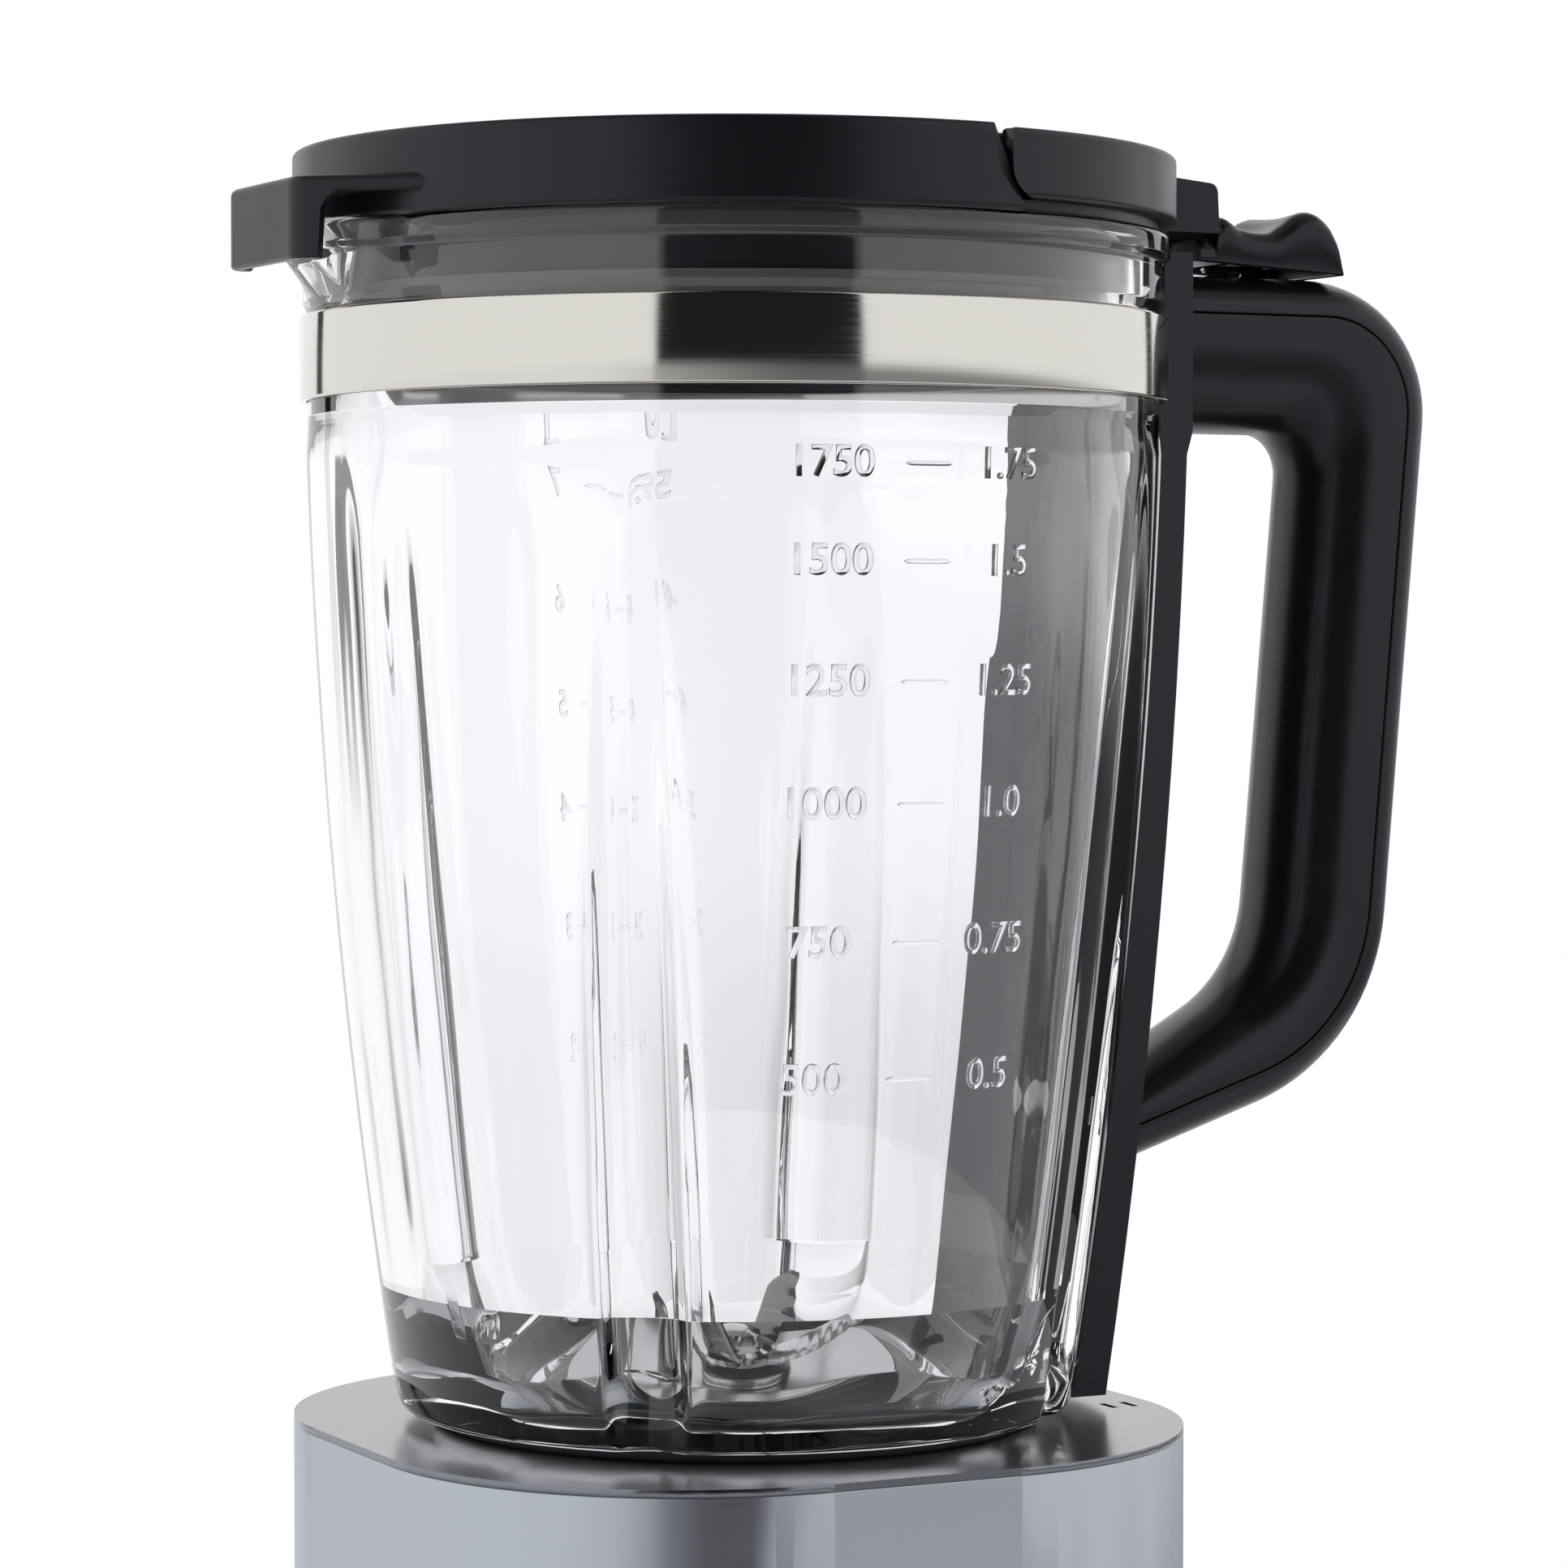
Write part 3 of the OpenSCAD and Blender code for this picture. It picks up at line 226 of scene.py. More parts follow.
def floor_material():
    """Matt white paint that fades into the lit backdrop between a third of the sheet's radius and its rim."""
    made, tree, shader = start_material("matt_white_paint", "#eeeff0", Roughness=0.6)
    place = add(tree, "ShaderNodeTexCoord").outputs["Object"]
    out = add(tree, "ShaderNodeVectorMath", {0: place}, operation="LENGTH")
    share = add(tree, "ShaderNodeMapRange", {
        "Value": out.outputs["Value"], "From Min": 0.3 * FLOOR_R, "From Max": 0.95 * FLOOR_R},
        interpolation_type="SMOOTHSTEP")
    lit = add(tree, "ShaderNodeEmission", {"Color": linear("#ffffff"), "Strength": 1.0})
    blend = add(tree, "ShaderNodeMixShader", {0: share.outputs[0], 1: shader.outputs[0], 2: lit.outputs[0]})
    end = next(node for node in tree.nodes if node.type == "OUTPUT_MATERIAL")
    tree.links.new(blend.outputs[0], end.inputs["Surface"])
    return made


around = np.linspace(0, 2 * math.pi, FLOOR_SIDES, endpoint=False)
edge = np.column_stack([FLOOR_R * np.cos(around), FLOOR_R * np.sin(around), np.full(FLOOR_SIDES, cad_low.z)])
sheet = bpy.data.meshes.new("studio_floor")
sheet.from_pydata(edge.tolist(), [], [list(range(FLOOR_SIDES))])
floor = bpy.data.objects.new("studio_floor", sheet)
bpy.context.scene.collection.objects.link(floor)
sheet.materials.append(floor_material())

# %% [markdown]
# ## Moulded plastic
# The lid, the handle and the controls are charcoal ABS. A mould with a fine spark-eroded
# skin gives such parts a satin sheen: highlights are broad and soft, and close up the
# surface shows a grain of about a third of a millimetre. A noise drives a very small bump
# and a slight change of roughness. A second, larger noise adds the faint polish that hands
# leave behind.

# %% Satin and soft plastics
GRAIN = 0.35
GRAIN_RELIEF = 0.02
HAND_POLISH = 26
COOL_SHEEN = "#d0d3de"


def satin_plastic(name, colour, roughness=0.36):
    """Charcoal ABS from a spark-eroded mould: broad soft highlights over a fine even grain."""
    made, tree, shader = start_material(name, colour, IOR=1.5, Specular_Tint=linear(COOL_SHEEN))
    place = add(tree, "ShaderNodeTexCoord").outputs["Object"]
    fine = add(tree, "ShaderNodeTexNoise", {"Vector": place, "Scale": per_mm(GRAIN), "Detail": 2.0})
    worn = add(tree, "ShaderNodeTexNoise", {"Vector": place, "Scale": per_mm(HAND_POLISH), "Detail": 3.0})
    rough = add(tree, "ShaderNodeMapRange", {
        "Value": worn.outputs["Fac"], "From Min": 0.3, "From Max": 0.7,
        "To Min": roughness - 0.035, "To Max": roughness + 0.035})
    bump = add(tree, "ShaderNodeBump", {
        "Height": fine.outputs["Fac"], "Strength": 0.35, "Distance": GRAIN_RELIEF * MM})
    tree.links.new(rough.outputs[0], shader.inputs["Roughness"])
    tree.links.new(bump.outputs[0], shader.inputs["Normal"])
    return made


def rubber(name, colour, roughness=0.62):
    """Moulded rubber: matt, with a dusty unevenness a few mm wide."""
    made, tree, shader = start_material(name, colour, IOR=1.52)
    place = add(tree, "ShaderNodeTexCoord").outputs["Object"]
    dust = add(tree, "ShaderNodeTexNoise", {"Vector": place, "Scale": per_mm(3), "Detail": 4.0})
    rough = add(tree, "ShaderNodeMapRange", {
        "Value": dust.outputs["Fac"], "To Min": roughness - 0.1, "To Max": roughness + 0.1})
    bump = add(tree, "ShaderNodeBump", {"Height": dust.outputs["Fac"], "Strength": 0.3, "Distance": 0.05 * MM})
    tree.links.new(rough.outputs[0], shader.inputs["Roughness"])
    tree.links.new(bump.outputs[0], shader.inputs["Normal"])
    return made


# %% [markdown]
# ## Brushed and turned metal
# Brushing leaves long parallel scratches about a tenth of a millimetre apart. They are
# drawn at a fifth of a millimetre, so that they still show. The scratches run round
# the object, so the noise is stretched level and squeezed upright: it hardly changes
# along X and Y and changes fast along Z. The scratches change the roughness a little and
# the relief a very little, which spreads each reflection upright, as real brushing does.

# %% Metals
def brushed_metal(name, colour, roughness, scratch=0.2, length=22, relief=0.004, spread=0.08):
    """Brushed metal with level scratches: reflections are stretched upright across the grain."""
    made, tree, shader = start_material(name, colour, Metallic=1.0)
    place = add(tree, "ShaderNodeTexCoord").outputs["Object"]
    stretched = add(tree, "ShaderNodeMapping", {
        "Vector": place, "Scale": (per_mm(length), per_mm(length), per_mm(scratch))})
    lines = add(tree, "ShaderNodeTexNoise", {"Vector": stretched.outputs[0], "Scale": 1.0, "Detail": 3.0})
    cloud = add(tree, "ShaderNodeTexNoise", {"Vector": place, "Scale": per_mm(30), "Detail": 2.0})
    mixed = add(tree, "ShaderNodeMath", {0: lines.outputs["Fac"], 1: cloud.outputs["Fac"]}, operation="ADD")
    rough = add(tree, "ShaderNodeMapRange", {
        "Value": mixed.outputs[0], "From Min": 0.6, "From Max": 1.4,
        "To Min": max(roughness - spread, 0.03), "To Max": roughness + spread})
    bump = add(tree, "ShaderNodeBump", {"Height": lines.outputs["Fac"], "Strength": 0.5, "Distance": relief * MM})
    tree.links.new(rough.outputs[0], shader.inputs["Roughness"])
    tree.links.new(bump.outputs[0], shader.inputs["Normal"])
    return made


def cast_metal(name, colour, roughness, grain=0.5, relief=0.012):
    """Metal with an even skin: a die casting, zinc plate, sintered bronze or a satin lacquer over metal."""
    made, tree, shader = start_material(name, colour, Metallic=1.0)
    place = add(tree, "ShaderNodeTexCoord").outputs["Object"]
    skin = add(tree, "ShaderNodeTexNoise", {"Vector": place, "Scale": per_mm(grain), "Detail": 3.0})
    rough = add(tree, "ShaderNodeMapRange", {
        "Value": skin.outputs["Fac"], "From Min": 0.3, "From Max": 0.7,
        "To Min": roughness - 0.04, "To Max": roughness + 0.04})
    bump = add(tree, "ShaderNodeBump", {"Height": skin.outputs["Fac"], "Strength": 0.3, "Distance": relief * MM})
    tree.links.new(rough.outputs[0], shader.inputs["Roughness"])
    tree.links.new(bump.outputs[0], shader.inputs["Normal"])
    return made


# %% [markdown]
# ## Pressed glass
# The jar is thick soda-lime glass that was pressed in a mould. It is clear, a trace cool
# where the wall is thick, and smooth enough that all of its character comes from its
# shape. A glass shader needs a closed wall with a true thickness, which the jar's mesh
# has. Real glass lets lamps through, so the jar casts no shadow of its own here: a
# renderer would otherwise leave the blades in the dark.

# %% Glass
def pressed_glass(name):
    """Soda-lime glass, IOR 1.52: clear, mirror-smooth, with the slow waves of a pressed wall."""
    made, tree, shader = start_material(name, "#fbfcfe", Roughness=0.0, IOR=1.52, Transmission_Weight=1.0)
    place = add(tree, "ShaderNodeTexCoord").outputs["Object"]
    drawn = add(tree, "ShaderNodeMapping", {"Vector": place, "Scale": (per_mm(9), per_mm(9), per_mm(60))})
    waves = add(tree, "ShaderNodeTexNoise", {"Vector": drawn.outputs[0], "Scale": 1.0, "Detail": 1.0})
    bump = add(tree, "ShaderNodeBump", {"Height": waves.outputs["Fac"], "Strength": 0.25, "Distance": 0.25 * MM})
    tree.links.new(bump.outputs[0], shader.inputs["Normal"])
    return made


# %% [markdown]
# ## One finish for each slot
# The model's record names a material slot for every piece. One table gives each slot its
# finish, and a loop hands it to the pieces that keep their engineering shape. The inner
# pieces get true finishes too: they show when the jar or the lid is lifted off.

# %% The table of finishes
def circuit_material():
    """Green solder mask over a glass-fibre board, with copper tracks showing through as darker lines."""
    made, tree, shader = start_material("solder_mask", "#0f4a2b", Roughness=0.3, IOR=1.5)
    place = add(tree, "ShaderNodeTexCoord").outputs["Object"]
    track = add(tree, "ShaderNodeTexWave", {"Vector": place, "Scale": per_mm(12), "Distortion": 4.0})
    ramp = add(tree, "ShaderNodeMix", {
        "Factor": track.outputs["Fac"], 6: linear("#0c3b22"), 7: linear("#16603a")}, data_type="RGBA")
    tree.links.new(ramp.outputs[2], shader.inputs["Base Color"])
    return made


FINISHES = {
    "brushed_housing": brushed_metal("satin_aluminium", "#b3b8c2", 0.38, scratch=0.25, length=60, relief=0.001,
                                     spread=0.03),
    "top_plate": cast_metal("grey_metallic_lacquer", "#7f8389", 0.22, grain=0.3, relief=0.0008),
    "base_plastic": satin_plastic("black_polypropylene", "#1c1d1f", 0.5),
    "rubber": rubber("black_rubber", "#151515"),
    "fasteners": cast_metal("zinc_plated_steel", "#b8b8b4", 0.3),
    "panel_plastic": satin_plastic("panel_abs", "#1a1b1d", 0.3),
    "trim_steel": brushed_metal("polished_trim_steel", "#cfcfce", 0.12),
    "dial_plastic": satin_plastic("dial_abs", "#232427", 0.34),
    "button_plastic": satin_plastic("button_abs", "#2a2b2f", 0.36),
    "circuit_board": circuit_material(),
    "switch_body": satin_plastic("ivory_nylon", "#c9c2ab", 0.45),
    "motor_laminations": brushed_metal("stacked_steel_sheet", "#55575a", 0.4, scratch=0.5, length=60),
    "copper": brushed_metal("enamelled_copper_wire", "#b8643a", 0.28, scratch=0.6, length=60),
    "cast_aluminium": cast_metal("die_cast_aluminium", "#a9abad", 0.42),
    "shaft_steel": brushed_metal("ground_shaft_steel", "#b5b6b8", 0.2),
    "brass": cast_metal("sintered_bronze", "#b08d4f", 0.35),
    "carbon": rubber("pressed_carbon", "#1a1a1b", 0.5),
    "jar_glass": pressed_glass("pressed_soda_lime_glass"),
    "band_steel": brushed_metal("polished_stainless_steel", "#d6d3ce", 0.085, scratch=0.18, length=35, relief=0.003,
                                spread=0.05),
    "silicone": rubber("grey_silicone", "#6e7072", 0.45),
    "hub_steel": brushed_metal("turned_stainless_steel", "#b9babb", 0.25),
    "handle_plastic": satin_plastic("handle_abs", "#1b1c21", 0.27),
    "handle_soft": satin_plastic("soft_touch_abs", "#17181c", 0.25),
    "liner_foam": rubber("black_foam", "#1b1d20"),
    "lever_plastic": satin_plastic("lever_abs", "#121519", 0.27),
    "lid_plastic": satin_plastic("lid_abs", "#13161a", 0.33),
    "cap_plastic": satin_plastic("cap_abs", "#15181c", 0.33),
    "blade_steel": brushed_metal("ground_blade_steel", "#bcbdbe", 0.16),
}
slot_of = {row["node"]: row["material_slot"] for row in frame["record"]["subparts"]}
for node, cad in frame["nodes"].items():
    for place in cad.material_slots:
        place.material = FINISHES[slot_of[node]]
print(len(FINISHES), "finishes on", len(frame["nodes"]), "pieces")

# %% [markdown]
# ## Helpers for surfaces
# Every new shape is one of two kinds. A sweep takes a closed loop of points and carries it
# along a path: a handle, a blade or the turned jar. The loop's points are computed for all
# steps at once, as one array of steps by points by XYZ. Faces join each point to its
# neighbours. A closed path gives a ring, and an open one gets an end face at each end.

# %% Surface helpers
def grid_faces(rows, columns, ring):
    """Four-cornered faces between neighbouring rows and columns. Columns close up, and rows too in a ring."""
    r = np.arange(rows if ring else rows - 1)[:, None]
    c = np.arange(columns)[None, :]
    r2, c2 = (r + 1) % rows, (c + 1) % columns
    corners = [r * columns + c, r2 * columns + c, r2 * columns + c2, r * columns + c2]
    return np.stack(np.broadcast_arrays(*corners), -1).reshape(-1, 4).tolist()


def sweep(sections, ring=False):
    """Points and faces of a loop carried along a path: sections[i, j] is the loop's point j at step i."""
    rows, columns = sections.shape[:2]
    faces = grid_faces(rows, columns, ring)
    if not ring:
        faces += [list(range(columns))[::-1], list(range((rows - 1) * columns, rows * columns))]
    return sections.reshape(-1, 3), faces


def turn(profile, angles):
    """Sections of a profile of (radius, height) points at the given angles: x = r cos a, y = r sin a."""
    a = np.asarray(angles)[:, None]
    r, z = profile[None, :, 0], profile[None, :, 1]
    return np.stack([r * np.cos(a), r * np.sin(a), z + 0 * a], -1)


def full_turn(steps):
    """Angles of a whole turn, without the last one, which is the first again."""
    return np.linspace(0, 2 * math.pi, steps, endpoint=False)


def rounded(corners, steps=6):
    """Outline whose corners [x, y, radius] are rounded.
    Each arc touches both sides at radius / tan(half the corner's angle) from the corner."""
    c = np.array(corners, float)
    p, radius = c[:, :2], c[:, 2:]
    u = np.roll(p, 1, 0) - p
    v = np.roll(p, -1, 0) - p
    u /= np.linalg.norm(u, axis=1, keepdims=True)
    v /= np.linalg.norm(v, axis=1, keepdims=True)
    half = np.arccos(np.clip((u * v).sum(1, keepdims=True), -1, 1)) / 2
    middle = (u + v) / np.maximum(np.linalg.norm(u + v, axis=1, keepdims=True), 1e-9)
    centre = p + middle * radius / np.sin(half)
    start = p + u * radius / np.tan(half) - centre
    end = p + v * radius / np.tan(half) - centre
    first = np.arctan2(start[:, 1:], start[:, :1])
    swing = (np.arctan2(end[:, 1:], end[:, :1]) - first + math.pi) % (2 * math.pi) - math.pi
    angle = first + swing * np.linspace(0, 1, steps + 1)
    arc = np.stack([np.cos(angle), np.sin(angle)], -1)
    return (centre[:, None] + radius[:, None] * arc).reshape(-1, 2)


def round_edges(thing, width, segments, sharp):
    """Bevels every edge whose faces meet at more than sharp degrees, width in mm."""
    edge = thing.modifiers.new("edge", "BEVEL")
    edge.width = width * MM
    edge.segments = segments
    edge.limit_method = "ANGLE"
    edge.angle_limit = math.radians(sharp)
    edge.harden_normals = True


def piece(name, parts, body, slot, nodes=(), lift=BASE_TOP, bevel=0.0, segments=2, sharp=35):
    """One object out of (points, faces) parts given in mm above the height lift. Seams are merged and
    normals face out. It rides on its body, stands for its CAD nodes and takes its slot's finish."""
    points, faces, count = [], [], 0
    for xyz, quads in parts:
        points.append((np.asarray(xyz) + (0, 0, lift)) * MM)
        faces += [[i + count for i in face] for face in quads]
        count += len(xyz)
    mesh = bpy.data.meshes.new(name)
    mesh.from_pydata(np.concatenate(points).tolist(), [], faces)
    cleaned = bmesh.new()
    cleaned.from_mesh(mesh)
    bmesh.ops.remove_doubles(cleaned, verts=cleaned.verts, dist=0.002 * MM)
    bmesh.ops.dissolve_degenerate(cleaned, edges=cleaned.edges, dist=0.001 * MM)
    bmesh.ops.recalc_face_normals(cleaned, faces=cleaned.faces)
    cleaned.to_mesh(mesh)
    cleaned.free()
    mesh.polygons.foreach_set("use_smooth", [True] * len(mesh.polygons))
    mesh.set_sharp_from_angle(angle=math.radians(sharp))
    mesh.materials.append(FINISHES[slot])
    made = bpy.data.objects.new(name, mesh)
    bpy.context.scene.collection.objects.link(made)
    if bevel:
        round_edges(made, bevel, segments, sharp)
    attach(made, body)
    if nodes:
        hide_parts(*nodes)
    print(name, len(mesh.polygons), "faces")
    return made


def soften(node, width, sharp=32):
    """Rounds the edges of a piece that keeps its engineering shape, without touching its mesh."""
    cad = frame["nodes"][node]
    weld = cad.modifiers.new("weld", "WELD")
    weld.merge_threshold = 0.001 * MM
    round_edges(cad, width, 2, sharp)


# %% [markdown]
# ## The jar's outside
# The jar widens upwards from 57 to 73 mm of radius, with a slight belly. Four round
# flutes are pressed into its wall. Each is the mark of an upright round bar: seen from
# above, the bar is a circle whose centre lies outside the wall, and where a ray from the
# axis meets that circle first, the wall follows it. Near its top the bar bends out, so a
# flute ends in an arch, and it grows shallow towards the foot, where it scallops the edge.
# Pressed glass has no sharp creases, so the two surfaces blend over about two millimetres.

# %% Jar sizes and the wall's outline
FOOT_R = 57.4
SHOULDER_R = 72.9
SHOULDER_H = 165.0
BELLY = 2.55
WALL = 6.0
BAND_SEAT_R = 72.6
NECK_IN_R = 67.6
FLUTE_R = 7.5
FLUTE_DEPTH = 5.0
FLUTE_FOOT = 3.0
FLUTE_TOP = 147.0
FLUTE_BLEND = 2.0
FLUTE_EASE = 2.6
FLUTE_ANGLES = np.radians([47.5, 130.0, -130.0, -47.5])
RIB_WALL = 5.0
RIB_BLEND = 2.5


def flank(z):
    """Wall radius: a straight cone from foot to shoulder plus a parabola that bows out half-way up."""
    t = np.clip(z / SHOULDER_H, 0, 1)
    return FOOT_R + (SHOULDER_R - FOOT_R) * t + 4 * BELLY * t * (1 - t)


def smooth_step(low, high, value):
    """0 below low, 1 above high, and 3t^2 - 2t^3 between."""
    t = np.clip((value - low) / (high - low), 0, 1)
    return t * t * (3 - 2 * t)


def soft_min(a, b, width):
    """The smaller of two surfaces, blended where they are closer than width."""
    h = np.clip(0.5 + 0.5 * (b - a) / width, 0, 1)
    return b + (a - b) * h - width * h * (1 - h)


def flute(angle, z, radius):
    """How far out the wall stays at a flute: the near side of a bar, c cos d - sqrt(r^2 - c^2 sin^2 d).
    The bar's depth in the wall falls with the cube of the height, and shrinks below a few mm."""
    share = np.maximum(z - FLUTE_FOOT, 0) / (FLUTE_TOP - FLUTE_FOOT)
    depth = FLUTE_DEPTH * (1 - share ** 3) - FLUTE_EASE * (1 - smooth_step(2.0, 15.0, z))
    centre = flank(z) + FLUTE_R - depth
    wall = np.full(np.broadcast(angle, z).shape, 1e3)
    for flute_angle in FLUTE_ANGLES:
        across = centre * np.sin(angle - flute_angle)
        along = centre * np.cos(angle - flute_angle)
        inside = (np.abs(across) < radius) & (along > 0)
        back = np.sqrt(np.maximum(radius ** 2 - across ** 2, 0))
        wall = np.where(inside, np.minimum(wall, along - back), wall)
    return wall


def outer_wall(angle, z):
    """The outside of the glass between foot and band: the flank, pressed in where a flute's bar meets it."""
    return soft_min(flank(z), flute(angle, z, FLUTE_R), FLUTE_BLEND)


# %% [markdown]
# ## The jar's inside, its rim and its spout
# Inside, the wall keeps its thickness behind each flute, so the flutes show as four soft
# ribs. Hot glass is never quite even, and a few slow waves round the lining give the
# streaks that you see when you look through a pressed jar. The rim is a bead, and at the
# front the bead swings out into a spout: inside and outside move out by different
# amounts, which thins the lip. The whole jar is one closed wall: its loop runs up the
# outside, over the rim, down the inside, across the floor and back through the hole.

# %% The pressed glass jar
SPOUT_ANGLE = math.pi
LOBES = 8
LOBE_RISE = 1.4
LINING_WAVES = ((0.10, 9, 1.0), (0.07, 17, 2.2), (0.05, 31, 0.7))


def inner_wall(angle, z):
    """The lining: the flank less the wall, pushed in behind each flute, with slow waves of a tenth of a mm."""
    ribs = soft_min(flank(z) - WALL, flute(angle, z, FLUTE_R + RIB_WALL), RIB_BLEND)
    waves = sum(size * np.cos(count * angle + shift) for size, count, shift in LINING_WAVES)
    return ribs + waves * smooth_step(18, 40, z) * (1 - smooth_step(150, 168, z))


def spout(angle, z, reach, low, high):
    """How far the spout pushes a point out: reach, faded sideways over 4 to 16 degrees and upwards
    from low to high."""
    off = np.abs((angle - SPOUT_ANGLE + math.pi) % (2 * math.pi) - math.pi)
    return reach * (1 - smooth_step(math.radians(4), math.radians(16), off)) * smooth_step(low, high, z)


def crowded_angles(steps, crowds):
    """Angles of a whole turn that lie closer together near each (angle, half width, weight) in crowds."""
    fine = np.linspace(0, 2 * math.pi, 7200)
    density = np.ones_like(fine)
    for angle, half, weight in crowds:
        off = (fine - angle + math.pi) % (2 * math.pi) - math.pi
        density += weight * np.exp(-(off / half) ** 2)
    share = np.concatenate([[0], np.cumsum(density)[:-1]]) / density.sum()
    return np.interp(np.linspace(0, 1, steps, endpoint=False), share, fine)


def jar_loop():
    """The wall's loop as (radius, height, side) rows: side 1 on the outside, -1 on the lining, 0 elsewhere."""
    foot = rounded([[20, -9, 0], [42, -9, 1.2], [42, 2, 1.2], [57.0, 2, 2.4], [flank(6.5), 6.5, 0]], 4)
    rise = np.concatenate([np.linspace(6.5, 20, 13), np.linspace(22, 128, 26), np.linspace(130, 150, 16),
                           np.linspace(153, 164, 5)])
    top = rounded([[flank(164), 164, 0], [BAND_SEAT_R, 168.5, 3], [BAND_SEAT_R, 187.6, 0.8], [73.4, 189.4, 1],
                   [73.4, 196.2, 1], [74.3, 197.4, 0.7], [74.3, JAR_RIM, 1.3], [69.0, JAR_RIM, 1.2],
                   [NECK_IN_R, 197, 4], [NECK_IN_R, 170.5, 4], [flank(165) - WALL, 165, 0]], 4)
    fall = np.concatenate([np.linspace(163, 60, 26), np.linspace(57, 24, 16)])
    floor_rows = rounded([[flank(24) - WALL, 24, 0], [flank(14) - WALL - 2.5, 13.5, 7], [47.5, 6.5, 6], [38, 2.5, 5],
                          [32, -1.5, 4], [20, -1.5, 0.6], [20, -9, 0]], 4)
    rows = [(foot, 0), (np.stack([flank(rise), rise], -1), 1), (top, 0),
            (np.stack([flank(fall) - WALL, fall], -1), -1), (floor_rows, 0)]
    return np.concatenate([np.column_stack([part, np.full(len(part), side)]) for part, side in rows])


def jar_sections():
    """The loop at each angle, with flutes, ribs, waves and spout added to its radii."""
    angle = crowded_angles(430, [(a, math.radians(6.5), 4.0) for a in FLUTE_ANGLES]
                           + [(SPOUT_ANGLE, math.radians(16), 1.2)])[:, None]
    radius, z, side = (column[None, :] for column in jar_loop().T)
    r = np.where(side > 0, outer_wall(angle, z), np.where(side < 0, inner_wall(angle, z), radius + 0 * angle))
    # The flutes run on through the rounded foot, less and less deep
    foot_edge = (side == 0) & (z > 1.5) & (z < 7) & (radius > 50)
    r = np.where(foot_edge, soft_min(radius, flute(angle, z, FLUTE_R) - (flank(z) - radius), FLUTE_BLEND), r)
    # Floor rows keep clear of the ribs where they run into them
    r = np.where((side == 0) & (z > 4) & (z < 24) & (radius < flank(z) - 2),
                 soft_min(radius, flute(angle, z, FLUTE_R + RIB_WALL), RIB_BLEND), r)
    outside = radius > 71.5
    r = r + np.where(outside, spout(angle, z, 7.2, 187.5, 198), spout(angle, z, 10.0, 190, 200))
    # The mould leaves eight shallow lobes where the floor turns up into the wall
    turned_up = (side == 0) & (radius < flank(z) - 3) & (z > 3)
    fade = smooth_step(4, 9, z) * (1 - smooth_step(15, 23, z))
    lobes = LOBE_RISE * np.cos(LOBES * angle) * np.where(turned_up, fade, 0)
    return np.stack([r * np.cos(angle), r * np.sin(angle), z + lobes], -1)


jar = piece("jar_wall", [sweep(jar_sections(), ring=True)], "jar", "jar_glass", ["glass_jar"], sharp=60)
jar.visible_shadow = False

# %% [markdown]
# ## The pressed-in scale
# The jar carries a raised scale. Each mark is a numeral with a dash, standing about half a
# millimetre proud of the glass. The numerals come from the plain built-in typeface. They
# are turned into meshes first and then bent round the jar: a letter's width becomes an
# angle, and its height stays a height. Only plain numbers and dashes are used.

# %% Raised numerals
RELIEF = 0.45
NUMERAL_H = 5.0
DASH_LENGTH, DASH_WIDTH = 8.2, 0.8
CAPITAL_SHARE = 0.71
USER_SIDE = math.radians(-91.0)
FAR_SIDE = math.radians(84.6)
USER_MARKS = ((160.7, "1750", "1.75"), (145.3, "1500", "1.5"), (126.3, "1250", "1.25"), (106.9, "1000", "1.0"),
              (84.9, "750", "0.75"), (63.0, "500", "0.5"))
FAR_MARKS = ((161.2, "59", "7"), (140.0, "48", "6"), (120.8, "40", "5"), (101.8, "32", "4"), (80.1, "24", "3"),
             (58.1, "16", "2"))


def letters(text, height, thickness, rise=0.0):
    """A line of text as points and faces in mm, centred on its middle, its front at +Z and its back at -rise."""
    curve = bpy.data.curves.new("letters", "FONT")
    curve.body = text
    curve.size = height / CAPITAL_SHARE * MM
    curve.extrude = thickness / 2 * MM
    curve.bevel_depth = 0.12 * MM
    curve.bevel_resolution = 1
    curve.resolution_u = 5
    curve.align_x, curve.align_y = "CENTER", "CENTER"
    drawn = bpy.data.objects.new("letters", curve)
    bpy.context.scene.collection.objects.link(drawn)
    bpy.context.view_layer.update()
    mesh = bpy.data.meshes.new_from_object(drawn.evaluated_get(bpy.context.evaluated_depsgraph_get()))
    xyz = np.empty(len(mesh.vertices) * 3)
    mesh.vertices.foreach_get("co", xyz)
    faces = [list(face.vertices) for face in mesh.polygons]
    bpy.data.objects.remove(drawn)
    return xyz.reshape(-1, 3) / MM + (0, 0, rise), faces


def dash(length, width, thickness):
    """A short raised bar with rounded ends, cut along its length so that it can bend round the jar."""
    x = np.linspace(-length / 2, length / 2, 13)
    half = width / 2 * np.minimum(1, np.sqrt(np.maximum(1 - (2 * np.abs(x) / length) ** 8, 0.04)))
    loop = np.array([[-1, -1], [1, -1], [1, 0.6], [0.6, 1], [-0.6, 1], [-1, 0.6]])
    points = np.stack([np.broadcast_to(x[:, None], (13, 6)), half[:, None] * loop[None, :, 0],
                       np.broadcast_to(thickness / 2 * loop[None, :, 1], (13, 6))], -1)
    return sweep(points)


def wrap(part, angle, z, radius):
    """Bends flat points round the axis: x becomes an angle, y a height, and the rest stands off the radius."""
    (x, y, out), faces = part[0].T, part[1]
    at = angle + x / radius(np.array([angle]), np.array([z]))
    r = radius(at, z + y) + out
    return np.stack([r * np.cos(at), r * np.sin(at), z + y], -1), faces


